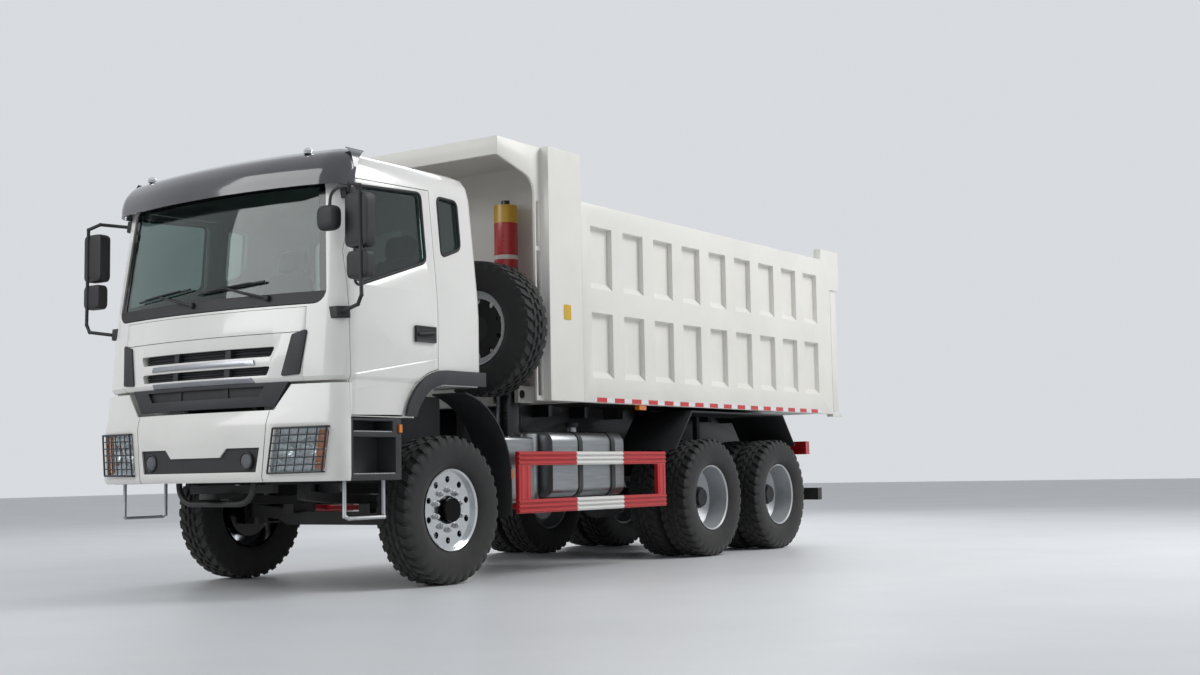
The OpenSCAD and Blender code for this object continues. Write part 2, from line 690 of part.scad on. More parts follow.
// Bumper's skin, open at the back, the top and the foot
bumper_t = 14;
function skin_ring(front, half, rc, back, t, z) =
    let (o = half_plan(front, half, rc, back, 0), i = half_plan(front + t, half - t, rc - t, back, 0), m = len(o) - 1)
    concat([for (k = [m : -1 : 1]) [-o[k].x, o[k].y, z]], [for (k = [0 : m]) [o[k].x, o[k].y, z]],
        [for (k = [m : -1 : 0]) [i[k].x, i[k].y, z]], [for (k = [1 : m]) [-i[k].x, i[k].y, z]]);
module bumper_skin(t, d = 0, lo = 0, hi = 4) {
    loft([for (i = [lo : hi]) let (v = bumper_levels[i])
        skin_ring(v[1] - front_overhang + d, v[2] - d, bumper_r - d, bumper_back, t, v[0])]);
}
lamp_line = [[690, 824], [1118, 830], [1158, 1138], [735, 1134]];
lower_opening = [[-575, 838], [575, 838], [605, 1004], [310, 1004], [250, 942], [-250, 942], [-310, 1004], [-605, 1004]];
module front_bumper() color(white) {
    difference() {
        bumper_skin(bumper_t);
        front_prism([[-700, cab_sill - 190], [700, cab_sill - 190], [900, cab_sill + 55], [-900, cab_sill + 55]], [-1700, -1100]);
        both_sides() front_prism(rounded(lamp_line, 45), [-1700, -1000]);
        front_prism(lower_opening, [-1700, -1200]);
    }
}

module head_lamps() color("#dfe3e6") both_sides() intersection() {
    guard_strip(-90, -4);
    front_prism(rounded(inset(lamp_line, fit), 45), [-1700, -1000]);
}

// Rear lamp boxes on their arms, and marker lamps on the step boxes
module rear_lamps() color(red) both_sides() {
    box([900, 1200], [rear_2 + 670, rear_2 + 750], [940, 1075]);
    box([rail_out, 905], [rear_2 + 690, rear_2 + 730], [985, 1030]);
    box([step_out + fit, step_out + 13], [step_back - 35, step_back - 5], [1095, 1150]);
}

// Wire guards: a grid of bars that follows the bumper's plan, and feet that stand on the bumper
function plan_strip(d) = half_plan(-front_overhang - d, cab_half + 12 + d, bumper_r + d, bumper_back, 2);
guard_n = 6;
function guard_spot(a, b) = lamp_line[0] * (1 - a) * (1 - b) + lamp_line[1] * a * (1 - b)
    + lamp_line[2] * a * b + lamp_line[3] * (1 - a) * b;
module guard_grid() {
    translate([0, -1000, 0]) rotate([90, 0, 0]) linear_extrude(500) for (i = [0 : guard_n]) let (t = i / guard_n) {
        grid_bar(guard_spot(t, 0), guard_spot(t, 1));
        grid_bar(guard_spot(0, t), guard_spot(1, t));
    }
}
module grid_bar(p, q) {
    side = 5 * unit([p.y - q.y, q.x - p.x]);
    along = 5 * unit(q - p);
    polygon([p - along + side, p - along - side, q + along - side, q + along + side]);
}
module lamp_guards() color(black) both_sides() {
    intersection() {
        guard_strip(19, 28);
        guard_grid();
    }
    intersection() {
        guard_strip(fit, 19.5);
        for (a = [0, 1], b = [0, 1]) let (p = guard_spot(a, b))
            box([p.x - 8, p.x + 8], [-1700, -1000], [p.y - 8, p.y + 8]);
    }
}
// Upright strip between two distances in front of the bumper
module guard_strip(a, b) {
    back = plan_strip(a);
    translate([0, 0, 780]) linear_extrude(400)
        polygon(concat(plan_strip(b), [for (i = [len(back) - 1 : -1 : 0]) back[i]]));
}

// Dark insert behind the lower opening, on the brackets that carry the bumper
module bumper_grille() color(black) {
    intersection() {
        bumper_skin(46, bumper_t + fit, 1, 2);
        front_prism([[-640, 815], [640, 815], [640, 1030], [-640, 1030]], [-1700, -1200]);
    }
    both_sides() box([rail_in, rail_out], [-1345, frame_front], [860, 960]);
}

// Step boxes under the doors with two open pockets
step_in = 985;
step_out = cab_half + 5;
step_back = -615;
// Shut gap between the bumper's ends and the step boxes
step_gap = 10;
module step_boxes() color(dark) both_sides() difference() {
    union() {
        box([step_in, step_out], [bumper_back + step_gap, step_back], [768, 1188]);
        box([rail_out, step_in + 5], [-900, -850], [900, 960]);
    }
    box([step_in + 60, step_out + 1], [bumper_back + 30, step_back - 90], [1098, 1172]);
    box([step_in + 60, step_out + 1], [bumper_back + 30, step_back - 60], [812, 1062]);
}

module stirrups() color(steel) both_sides() {
    tube([[1130, -1085, 768 - fit], [1130, -1085, 530], [1150, -1060, 516],
        [1150, -715, 516], [1130, -700, 530], [1130, -700, 768 - fit]], 13);
}

// Sheet guards: behind the front wheels and over the twin wheels, with brackets
rear_guard = [[rear_1 - 660, 985], [rear_1 - 360, 1325], [rear_2 + 80, 1325], [rear_2 + 330, 1025]];
module mudguards() color(black) both_sides() {
    front_guard = concat(arc([0, 740], 660, 80, 8, 9), [[655, 475], [667, 475]], arc([0, 740], 672, 8, 80, 9));
    side_prism(front_guard, [880, 1205]);
    box([rail_out, 880], [640, 664], [800, 860]);
    rear_step = [[-16, 0], [-7, 14], [7, 14], [16, 0]];
    side_prism(concat(rear_guard, [for (i = [3 : -1 : 0]) rear_guard[i] + rear_step[i]]), [630, 1240]);
    for (y = [rear_1 - 652, rear_2 + 322]) box([rail_out, 630], [y - 12, y + 12], [985, 1045]);
    box([rail_out, 640], [trunnion_y - 25, trunnion_y + 25], [1010, 1045]);
    box([640, 690], [trunnion_y - 25, trunnion_y + 25], [1010, 1325]);
}

// Rounded box section in X and Z carried along Y
module soft_box(x, y, z, r) {
    translate([0, y[1], 0]) rotate([90, 0, 0]) linear_extrude(y[1] - y[0]) {
        translate([x[0] + r, z[0]]) square([x[1] - x[0] - 2 * r, z[1] - z[0]]);
        translate([x[0], z[0] + r]) square([x[1] - x[0], z[1] - z[0] - 2 * r]);
        for (px = [x[0] + r, x[1] - r], pz = [z[0] + r, z[1] - r]) translate([px, pz]) circle(r = r);
    }
}

tank_x = [705, 1165];
tank_y = [1255, 2290];
tank_z = [600, 1125];
strap_ys = [1640, 2120];
module chassis_tanks() color(steel) {
    soft_box(tank_x, tank_y, tank_z, 90);
    rod_z(40, 900, 1900, [tank_z[1], tank_z[1] + 55]);
    soft_box([620, 1110], [690, 1075], [566, 1082], 30);
    rod_z(70, 1000, 1162, [590, 1110]);
    // Right side: exhaust silencer and battery box
    soft_box([-1150, -640], [1255, 2050], [600, 1100], 110);
    soft_box([-1110, -620], [690, 1075], [566, 1082], 30);
}

module tank_straps() color(black) {
    for (y = strap_ys) {
        difference() {
            soft_box([tank_x[0] - 8, tank_x[1] + 8], [y - 28, y + 28], [tank_z[0] - 8, tank_z[1] + 8], 98);
            soft_box([tank_x[0] - fit, tank_x[1] + fit], [y - 30, y + 30], [tank_z[0] - fit, tank_z[1] + fit], 90 + fit);
        }
        box([rail_out, tank_x[0] - 8], [y - 28, y + 28], [700, 1000]);
        box([-640, -rail_out], [y - 178, y - 122], [720, 980]);
    }
    both_sides() box([rail_out, 620], [850, 910], [800, 1000]);
    box([930, 1070], [1075, 1092 - fit], [700, 760]);
}

// Side guards: frame outline, then its opening
guard_y = [700, 2840];
guard_z = [490, 965];
module side_guards() color(red) both_sides() {
    difference() {
        box([bed_half - 35, bed_half], guard_y, guard_z);
        box([bed_half - 40, bed_half + 5], [guard_y[0] + 155, guard_y[1] - 130], [guard_z[0] + 106, guard_z[1] - 106]);
    }
    for (y = [1120, 2400]) {
        box([rail_out, bed_half - 35], [y, y + 50], [510, 550]);
        box([rail_out, rail_out + 40], [y, y + 50], [550, 900]);
    }
}

spare_x = 770;
spare_y = 890;
spare_z = 1950;
module at_spare() translate([spare_x, spare_y, spare_z]) rotate([0, 0, -90]) children();
module spare_tyre() color(black) at_spare() tyre();
module spare_wheel() color(steel) at_spare() rim(70);

// Load bed
bed_rear = rear_end - 250;
floor_top = bed_low + 62;
beam_x = [rail_in + 5, rail_out - 5];
module bed_floor() color(white) {
    difference() {
        union() {
            box([-bed_in, bed_in], [headboard_y + 60, bed_rear], [bed_low + 8, floor_top]);
            both_sides() box(beam_x, [headboard_y + 60, hinge_y], [frame_top + 10, bed_low + 8]);
            both_sides() rod_x(78, beam_x, hinge_y, hinge_z);
            for (i = [0 : 7]) let (y = headboard_y + 420 + i * (hinge_y - headboard_y - 560) / 7)
                box([-600, 600], [y - 35, y + 35], [bed_low - 90, bed_low + 8]);
        }
        both_sides() rod_x(hinge_r + run_fit, [beam_x[0] - 1, beam_x[1] + 1], hinge_y, hinge_z);
    }
}

// Wall rows: lower and upper edge of the recessed panels
panel_rows = [[1575, 2120], [2320, 2845]];
wall_y = [headboard_y, bed_rear + 20];
panel_y = [headboard_y + 40, rear_end - 470];
recess = 48;
module bed_side() {
    pitch = (panel_y[1] - panel_y[0]) / panel_count;
    difference() {
        box([bed_in, bed_half], wall_y, [bed_low, bed_top]);
        for (i = [0 : panel_count - 1], row = panel_rows)
            let (y = panel_y[0] + i * pitch)
                translate([0, y + pitch - rib_w / 2, 0]) rotate([90, 0, 0]) linear_extrude(pitch - rib_w)
                    polygon([[bed_half + 1, row[0]], [bed_half, row[0]], [bed_half - recess, row[0] + 55],
                        [bed_half - recess, row[1] - 8], [bed_half, row[1]], [bed_half + 1, row[1]]]);
    }
    // Rear post with the ear that carries the tailgate
    box([bed_in, bed_half], [rear_end - 430, bed_rear + 20], [bed_top, bed_top + 115]);
    side_prism(rounded([[bed_rear, bed_top - 310], [gate_y + 45, bed_top - 310], [rear_end, bed_top - 200],
        [rear_end, bed_top + 115], [bed_rear, bed_top + 115]], 20, 3), [bed_half - 45, bed_half]);
    box([bed_half - 70, bed_half], [bed_rear + 10, rear_end - 25], [bed_low - 25, bed_low + 12]);
    rod_x(gate_pin_r, [bed_half - 130, bed_half - 44], gate_y, gate_z);
}
module bed_side_left() color(white) bed_side();
module bed_side_right() color(white) mirror([1, 0, 0]) bed_side();

// Headboard with corner columns, gusset frames and the canopy over the cab
canopy_y = 580;
gusset_x = [bed_half - 105, bed_half - 80];
module headboard() color(white) {
    box([-bed_in, bed_in], [headboard_y, headboard_y + 60], [bed_low, canopy_top - 30]);
    both_sides() {
        box([bed_in - 40, bed_half], [column_y, headboard_y], [bed_low, canopy_top]);
        gusset();
    }
    side_prism([[canopy_y, canopy_top - 30], [headboard_y + 60, canopy_top - 30], [headboard_y + 60, canopy_top], [canopy_y, canopy_top]],
        [-bed_in, bed_in]);
    box([-bed_in, bed_in], [canopy_y, canopy_y + 30], [canopy_top - 145, canopy_top - 30]);
    hoist_ears();
}

module gusset() {
    difference() {
        side_prism(concat([[canopy_y, canopy_top], [canopy_y, canopy_top - 145], [920, canopy_top - 240]],
            arc([900, canopy_top - 400], 160, 78, 0, 5), [[1060, bed_low], [column_y + 1, bed_low], [column_y + 1, canopy_top]]), gusset_x);
        for (i = [0 : 3]) box([gusset_x[0] - 1, gusset_x[1] + 1], [1080, column_y - 8], span(bed_low + 40 + i * 400, [0, 360]));
    }
}

// Ears for the hoist's trunnions, at the foot of the headboard
trunnion_r = 35;
module hoist_ears() {
    for (s = [-1, 1]) difference() {
        box(s > 0 ? [hoist_x + 112, hoist_x + 150] : [hoist_x - 150, hoist_x - 112], [hoist_y - 60, headboard_y], span(hoist_top_z, [-70, 70]));
        rod_x(trunnion_r + run_fit, [hoist_x - 200, hoist_x + 200], hoist_y, hoist_top_z);
    }
}

// Hoist: barrel on trunnions, stages that slide down out of it, rod with its eye
barrel_r = 100;
barrel_z = [1105, 3045];
stage_wall = 12;
stage_gap = 0.5;
function stage_r(k) = barrel_r - 10 - k * (stage_wall + stage_gap) - stage_gap;
module lift_barrel() color(red) {
    difference() {
        union() {
            rod_z(barrel_r, hoist_x, hoist_y, barrel_z);
            rod_x(trunnion_r, [hoist_x - 150, hoist_x + 150], hoist_y, hoist_top_z);
            rod_z(36, hoist_x, hoist_y, [barrel_z[1], barrel_z[1] + 45]);
        }
        rod_z(barrel_r - 10, hoist_x, hoist_y, [barrel_z[0] - 1, barrel_z[1] - 20]);
    }
}
module stage(k) {
    difference() {
        rod_z(stage_r(k), hoist_x, hoist_y, [barrel_z[0] - 8 - 8 * k, barrel_z[1] - 60 - 30 * k]);
        rod_z(stage_r(k) - stage_wall, hoist_x, hoist_y, [0, barrel_z[1] - 80 - 30 * k]);
    }
}
module lift_stage_1() color(steel) stage(0);
module lift_stage_2() color(steel) stage(1);
module lift_rod() color(steel) {
    rod_z(stage_r(2), hoist_x, hoist_y, [hoist_foot_z + 60, barrel_z[1] - 120]);
    rod_z(40, hoist_x, hoist_y, [hoist_foot_z, hoist_foot_z + 60]);
    rod_x(45, [hoist_x - 60, hoist_x + 60], hoist_y, hoist_foot_z);
}

// Tailgate hung from the rear ears
gate_y = rear_end - 65;
gate_z = bed_top + 55;
gate_pin_r = 20;
gate_face = [bed_rear + 26, bed_rear + 160];
module tailgate() color(white) {
    difference() {
        union() {
            box([55 - bed_half, bed_half - 55], gate_face, [bed_low + 30, bed_top - 30]);
            both_sides() box([bed_half - 56, bed_half], gate_face, [bed_low + 30, bed_top - 335]);
            both_sides() side_prism(rounded([[gate_face[0] + 60, bed_top - 60], [gate_face[1], bed_top - 60], [gate_y + 45, gate_z - 30],
                [gate_y + 45, gate_z + 40], [gate_y - 45, gate_z + 40]], 18, 3), [bed_half - 125, bed_half - 55]);
        }
        for (i = [0 : 4], row = [[bed_low + 130, 2080], [2200, bed_top - 130]])
            box(span(170 - bed_half + i * 437, [0, 350]), [gate_face[1] - 50, gate_face[1] + 1], row);
        both_sides() rod_x(gate_pin_r + run_fit, [bed_half - 200, bed_half], gate_y, gate_z);
    }
}

// Engine, gearbox, radiator and shafts as plain blocks at their real places
module driveline() color(black) {
    box([-320, 320], [-860, 350], [790, 1400]);
    box([-240, 240], [350, 1150], [660, 1040]);
    box([-330, 330], [-1000, -910], [790, 1400]);
    box([-250, 250], [-911, -859], [900, 1250]);
    bar([0, 1149, 780], [0, rear_1 - 335, 570], 50);
    bar([0, rear_1 + 165 + fit, 560], [0, rear_2 - 330 - fit, 560], 45);
}

place() frame_rails();
place() cross_members();
place() front_axle();
place() rear_bogie();
place() driveline();
place() brackets();
place() front_bumper();
place() head_lamps();
place() rear_lamps();
place() lamp_guards();
place() bumper_grille();
place() step_boxes();
place() stirrups();
place() mudguards();
place() chassis_tanks();
place() tank_straps();
place() side_guards();
place() spare_tyre();
place() spare_wheel();
place() knuckle_left();
place() knuckle_right();
place() front_tyre_left();
place() front_wheel_left();
place() front_tyre_right();
place() front_wheel_right();
place() rear_tyres_left_1();
place() rear_wheels_left_1();
place() rear_tyres_right_1();
place() rear_wheels_right_1();
place() rear_tyres_left_2();
place() rear_wheels_left_2();
place() rear_tyres_right_2();
place() rear_wheels_right_2();
place() cab_shell();
place() cab_front();
place() grille_bars();
place() cab_trim();
place() windscreen();
place() cab_glass();
place() visor();
place() mirrors();
place() dashboard();
place() seats();
place() door_left();
place() door_glass_left();
place() door_right();
place() door_glass_right();
place() bed_floor();
place() bed_side_left();
place() bed_side_right();
place() headboard();
place() tailgate();
place() lift_barrel();
place() lift_stage_1();
place() lift_stage_2();
place() lift_rod();
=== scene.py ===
# %% [markdown]
# This lesson dresses the solids of a three-axle dump truck. The imported model gives every solid its place, so the
# first step only loads it. A scene could also import each solid by hand, but then its parts would have to be fitted
# again.
# Lengths are in metres, and places along the truck are counted from its front axle, which lies at Y = axle in the
# frame.

# %% Load the fixed frame
import math
import bmesh
import bpy
import numpy as np
from mathutils import Matrix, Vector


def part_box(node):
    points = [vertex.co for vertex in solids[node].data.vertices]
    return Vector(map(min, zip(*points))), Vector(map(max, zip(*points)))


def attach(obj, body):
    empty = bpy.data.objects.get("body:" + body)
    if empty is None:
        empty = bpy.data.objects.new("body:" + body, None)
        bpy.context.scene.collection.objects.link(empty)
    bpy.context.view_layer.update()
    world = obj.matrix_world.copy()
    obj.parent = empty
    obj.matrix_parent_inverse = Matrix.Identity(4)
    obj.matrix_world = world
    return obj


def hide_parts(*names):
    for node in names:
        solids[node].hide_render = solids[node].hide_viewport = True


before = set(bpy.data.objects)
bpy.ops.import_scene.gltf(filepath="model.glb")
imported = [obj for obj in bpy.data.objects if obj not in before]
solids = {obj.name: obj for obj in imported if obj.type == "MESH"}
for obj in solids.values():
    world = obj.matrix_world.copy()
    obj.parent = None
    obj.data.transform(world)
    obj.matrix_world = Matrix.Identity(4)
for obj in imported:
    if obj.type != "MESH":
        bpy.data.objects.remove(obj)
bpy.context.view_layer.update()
axle = -2.575
wheel_r = 0.542
rear_axles = ((1, 3.7), (2, 5.05))
sides = (("left", 1), ("right", -1))
print(len(solids), "solids in the frame")

# %% [markdown]
# The camera stands where the photograph was taken: low, off the truck's front left corner. Its place and turn were
# found beforehand from wheel centres and straight edges. Writing the three directions of the camera into its matrix
# keeps its small roll, which a Track To constraint would lose.

# %% Camera
yaw, pitch, roll = (math.radians(a) for a in (34.02, 5.12, -1.06))
ahead = np.array([-math.sin(yaw) * math.cos(pitch), math.cos(yaw) * math.cos(pitch), math.sin(pitch)])
across = np.array([math.cos(yaw), math.sin(yaw), 0.0])
upward = np.cross(across, ahead)
right = across * math.cos(roll) + upward * math.sin(roll)
top = -across * math.sin(roll) + upward * math.cos(roll)
lens = bpy.data.cameras.new("camera")
lens.lens, lens.sensor_width, lens.clip_end = 44.85, 36.0, 200.0
camera = bpy.data.objects.new("camera", lens)
turn = np.eye(4)
turn[:3, :4] = np.stack([right, top, -ahead, [8.205, -8.467 + axle, 0.800]], axis=1)
camera.matrix_world = Matrix(turn.tolist())
bpy.context.scene.collection.objects.link(camera)
bpy.context.scene.camera = camera
bpy.context.scene.view_settings.view_transform = "Standard"
print("camera at", [round(v, 3) for v in camera.location])

# %% [markdown]
# Colours are written as they look on a screen, in sRGB hex. Shaders count light, so one function turns them to linear.
# A second small function adds a shader node with its settings, socket values and links, which keeps every material
# readable as a list.

# %% Colour and node helpers
def linear(colour, alpha=1.0):
    """Each channel c of 0 to 1: c / 12.92 up to 0.04045, else ((c + 0.055) / 1.055) to the power 2.4."""
    c = np.array([int(colour[i:i + 2], 16) for i in (1, 3, 5)]) / 255
    return (*np.where(c <= 0.04045, c / 12.92, ((c + 0.055) / 1.055) ** 2.4).tolist(), alpha)


def node(tree, kind, links=None, sockets=None, **settings):
    """Adds one node: settings are its attributes, sockets its input values, links its inputs from (node, output)."""
    new = tree.nodes.new(kind)
    for key, value in settings.items():
        setattr(new, key, value)
    for key, value in (sockets or {}).items():
        new.inputs[key].default_value = value
    for key, (source, output) in (links or {}).items():
        tree.links.new(source.outputs[output], new.inputs[key])
    return new


print("white paint in linear light", [round(v, 3) for v in linear("#e9e8e4")])

# %% [markdown]
# Nearly every surface of a truck is a coat over a base: paint, moulded plastic, rubber or worn metal. One recipe serves
# them all: a wide noise blends two close shades, a fine noise gives roughness and bump, and bands along an axis or
# about an axle change the colour where the maker changed it. Sizes are in millimetres of the real surface.

# %% One recipe for finishes
def finish(name, shades, patch_mm, grain_mm, bump_mm, rough, metal=0.0, coat=0.0, stretch=(1, 1, 1), bands=(),
           dust=None, sheen=0.0, ring=None):
    """shades: two hex colours mixed by noise of patch_mm. grain_mm and bump_mm: spacing and height of the fine grain.
    rough: lowest and highest roughness. bands: (axis, low, high, hex) in metres, axis X, Y, Z or R, the distance from
    ring = (axis, y or x, z). dust: (height in metres, hex), fading upwards from the ground."""
    material = bpy.data.materials.new(name)
    material.use_nodes = True
    tree = material.node_tree
    shader = tree.nodes["Principled BSDF"]
    shader.inputs["Metallic"].default_value = metal
    shader.inputs["Coat Weight"].default_value = coat
    shader.inputs["Coat Roughness"].default_value = 0.06
    shader.inputs["Sheen Weight"].default_value = sheen
    place = node(tree, "ShaderNodeTexCoord")
    spread = node(tree, "ShaderNodeMapping", {"Vector": (place, "Object")}, {"Scale": stretch})
    wide = node(tree, "ShaderNodeTexNoise", {"Vector": (spread, 0)},
                {"Scale": 1000 / patch_mm, "Detail": 5.0, "Roughness": 0.6})
    fine = node(tree, "ShaderNodeTexNoise", {"Vector": (spread, 0)}, {"Scale": 1000 / grain_mm, "Detail": 2.0})
    ramp = node(tree, "ShaderNodeValToRGB", {"Fac": (wide, 0)})
    for stop, (where, shade) in zip(ramp.color_ramp.elements, ((0.35, shades[0]), (0.65, shades[1]))):
        stop.position, stop.color = where, linear(shade)
    colour = (ramp, 0)
    parts = node(tree, "ShaderNodeSeparateXYZ", {"Vector": (place, "Object")})
    if dust:
        fade = node(tree, "ShaderNodeMapRange", {"Value": (parts, "Z")},
                    {"From Min": 0.0, "From Max": dust[0], "To Min": 0.75, "To Max": 0.0})
        cloud = node(tree, "ShaderNodeMath", {0: (fade, 0), 1: (wide, 0)}, operation="MULTIPLY")
        colour = (node(tree, "ShaderNodeMix", {0: (cloud, 0), 6: colour}, {7: linear(dust[1])}, data_type="RGBA"), 2)
    if ring:
        other = "Y" if ring[0] == "X" else "X"
        spans = [node(tree, "ShaderNodeMath", {0: (parts, axis)}, {1: at}, operation="SUBTRACT")
                 for axis, at in ((other, ring[1]), ("Z", ring[2]))]
        squares = [node(tree, "ShaderNodeMath", {0: (s, 0)}, {1: 2.0}, operation="POWER") for s in spans]
        whole = node(tree, "ShaderNodeMath", {0: (squares[0], 0), 1: (squares[1], 0)}, operation="ADD")
        radius = node(tree, "ShaderNodeMath", {0: (whole, 0)}, {1: 0.5}, operation="POWER")
    for axis, low, high, shade in bands:
        along = (radius, 0) if axis == "R" else (parts, axis)
        over = node(tree, "ShaderNodeMath", {0: along}, {1: low}, operation="GREATER_THAN")
        under = node(tree, "ShaderNodeMath", {0: along}, {1: high}, operation="LESS_THAN")
        both = node(tree, "ShaderNodeMath", {0: (over, 0), 1: (under, 0)}, operation="MULTIPLY")
        colour = (node(tree, "ShaderNodeMix", {0: (both, 0), 6: colour}, {7: linear(shade)}, data_type="RGBA"), 2)
    tree.links.new(colour[0].outputs[colour[1]], shader.inputs["Base Color"])
    gloss = node(tree, "ShaderNodeMapRange", {"Value": (fine, 0)}, {"To Min": rough[0], "To Max": rough[1]})
    tree.links.new(gloss.outputs[0], shader.inputs["Roughness"])
    height = node(tree, "ShaderNodeBump", {"Height": (fine, 0)}, {"Strength": 0.6, "Distance": bump_mm / 1000})
    tree.links.new(height.outputs[0], shader.inputs["Normal"])
    return material


def clear(name, tint, rough, ior):
    """A clear solid: all light goes through, tinted, with a faint cloud of wiped dust in its roughness."""
    material = bpy.data.materials.new(name)
    material.use_nodes = True
    tree = material.node_tree
    shader = tree.nodes["Principled BSDF"]
    shader.inputs["Transmission Weight"].default_value = 1.0
    shader.inputs["IOR"].default_value = ior
    place = node(tree, "ShaderNodeTexCoord")
    cloud = node(tree, "ShaderNodeTexNoise", {"Vector": (place, "Object")}, {"Scale": 1000 / 260, "Detail": 4.0})
    ramp = node(tree, "ShaderNodeValToRGB", {"Fac": (cloud, 0)})
    for stop, shade in zip(ramp.color_ramp.elements, tint):
        stop.color = linear(shade)
    tree.links.new(ramp.outputs[0], shader.inputs["Base Color"])
    gloss = node(tree, "ShaderNodeMapRange", {"Value": (cloud, 0)}, {"To Min": 0.0, "To Max": rough})
    tree.links.new(gloss.outputs[0], shader.inputs["Roughness"])
    return material


print("recipes ready")

# %% [markdown]
# The body panels are steel, sprayed with two-pack white enamel. On the cab it is smooth, with a faint ripple that
# sprayers call orange peel. The load bed is welded plate, so its coat is duller, its ripple wider, and a little road
# dust sits low down.

# %% White and black coats
cab_white = finish("two_pack_enamel_white", ("#ecebe7", "#e6e5e1"), 900, 9, 0.05, (0.16, 0.26), coat=0.5,
                   dust=(1.5, "#cfccc4"))
bed_white = finish("bed_enamel_white", ("#e9e7e1", "#e2e0da"), 700, 14, 0.2, (0.32, 0.48), coat=0.15,
                   dust=(2.2, "#cdc9bf"))
# Below 1.405 m the bed floor's underframe is near-black: painted shade under the bed.
bed_base = finish("bed_enamel_and_painted_shade", ("#e9e7e1", "#e2e0da"), 700, 14, 0.2, (0.32, 0.48), coat=0.1,
                  bands=(("Z", 0.0, 1.405, "#1b1c1e"),))
chassis_black = finish("chassis_enamel_black", ("#1a1b1d", "#232426"), 300, 12, 0.25, (0.38, 0.6),
                       dust=(1.2, "#55524c"))
guard_red = finish("guard_enamel_red_white", ("#c3262a", "#b92126"), 400, 10, 0.1, (0.25, 0.4), coat=0.3,
                   bands=(("Y", 1.473 + axle, 2.158 + axle, "#e4e3df"),))
# Below 1.56 m the barrel is near-black: partly the dark hoses there, partly painted shade low under the bed.
hoist_red = finish("hoist_enamel_red", ("#c22a2b", "#b32225"), 250, 10, 0.1, (0.22, 0.36), coat=0.3,
                   bands=(("Z", 2.895, 3.2, "#d8a828"), ("Z", 2.585, 2.62, "#d9d9d6"), ("Z", 3.047, 3.2, "#202123"),
                          ("Z", 0.0, 1.56, "#1b1c1e")))
print("enamels:", cab_white.name, bed_white.name, chassis_black.name)

# %% [markdown]
# Trims, steps and guards are moulded polypropylene with a leather-like grain; the visor is a smoked, blow-moulded
# acrylic sheet with a gloss coat. Tyres are carbon-black rubber, greyed by dust where they meet the road.

# %% Plastics and rubber
trim_grey = finish("polypropylene_grey", ("#26282b", "#2d2f33"), 200, 3, 0.15, (0.5, 0.68), dust=(1.0, "#5a5853"))
trim_black = finish("polypropylene_black", ("#1b1c1e", "#222326"), 200, 3, 0.15, (0.48, 0.66), dust=(1.0, "#4a4843"))
visor_smoke = finish("smoked_acrylic", ("#47464c", "#3c3b41"), 500, 20, 0.02, (0.08, 0.16), coat=0.7)
rubber = finish("tyre_rubber", ("#19191a", "#212120"), 120, 4, 0.3, (0.7, 0.9), dust=(0.7, "#3a3834"), sheen=0.1)
red_lens = finish("red_polycarbonate", ("#b01d1f", "#9a1719"), 60, 8, 0.2, (0.08, 0.18), coat=0.6,
                  bands=(("Y", -9.0, axle, "#dd7a18"),))
amber_lens = finish("amber_polycarbonate", ("#e07a16", "#cf6a0e"), 60, 8, 0.2, (0.08, 0.18), coat=0.6)
print("plastics:", trim_grey.name, trim_black.name, visor_smoke.name, rubber.name)

# %% [markdown]
# Bare metals differ by how they were worked: the tank is brushed along its length, the front discs are turned and
# polished, the rear rims are silver lacquer, the hoist's stages are hard chrome. A stretched noise draws the brush.

# %% Metals and glass
tank_metal = finish("brushed_aluminium", ("#8f9294", "#9c9fa1"), 300, 6, 0.06, (0.28, 0.42), metal=1.0,
                    stretch=(14, 1, 14))
chrome = finish("hard_chrome", ("#d3d6d8", "#c9ccce"), 200, 12, 0.02, (0.06, 0.14), metal=1.0)
bright = finish("satin_chrome", ("#a4a6ab", "#96989e"), 300, 6, 0.03, (0.24, 0.38), metal=1.0, stretch=(1, 8, 8))
iron = finish("cast_iron", ("#26272a", "#34322f"), 90, 5, 0.5, (0.6, 0.8), metal=0.4, dust=(1.0, "#504b44"))
steel = finish("galvanised_steel", ("#b3b6b8", "#c4c6c7"), 60, 18, 0.1, (0.35, 0.5), metal=0.55)
glass = clear("tinted_safety_glass", ("#9fb0ac", "#8fa19e"), 0.03, 1.5)
print("metals:", tank_metal.name, chrome.name, steel.name, "and", glass.name)

# %% [markdown]
# Turned and polished alloy shows rings about its axle, but the recipe draws none; only the hub in the middle is black.
# That black depends on the distance from the axle, so each wheel gets its own copy of the recipe, centred with two
# subtractions.

# %% Wheel finishes
def middle(name):
    """Middle of a solid's box."""
    low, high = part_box(name)
    return (np.array(low) + np.array(high)) / 2


def wheel_finish(name, shades, centre, along, metal, rough, dark=0.104, inside=(0, 0)):
    """Wheel face: alloy or lacquer, with a black middle inside a radius about the axle (the hub; on the spare a wider
    disc of painted shade), and a cast brake drum on its inner side, between two places along X."""
    at = centre[1] if along == "X" else centre[0]
    return finish(name, shades, 220, 4, 0.05, rough, metal=metal, ring=(along, at, centre[2]),
                  bands=(("R", 0.0, dark, "#17181a"), ("X", *inside, "#2b2a29")))


finishes = {}
alloy, lacquer = ("#d0d2d4", "#c4c7c9"), ("#bbbec0", "#aeb1b4")
for side, s in sides:
    name = f"front_wheel_{side}"
    finishes[name] = wheel_finish(f"polished_alloy_{side}", alloy, middle(name), "X", 0.95, (0.14, 0.24),
                                  inside=sorted((s * 0.9, s * 1.048)))
    for n, _ in rear_axles:
        name = f"rear_wheels_{side}_{n}"
        finishes[name] = wheel_finish(f"silver_lacquer_{side}_{n}", lacquer, middle(name), "X", 0.3, (0.3, 0.42))
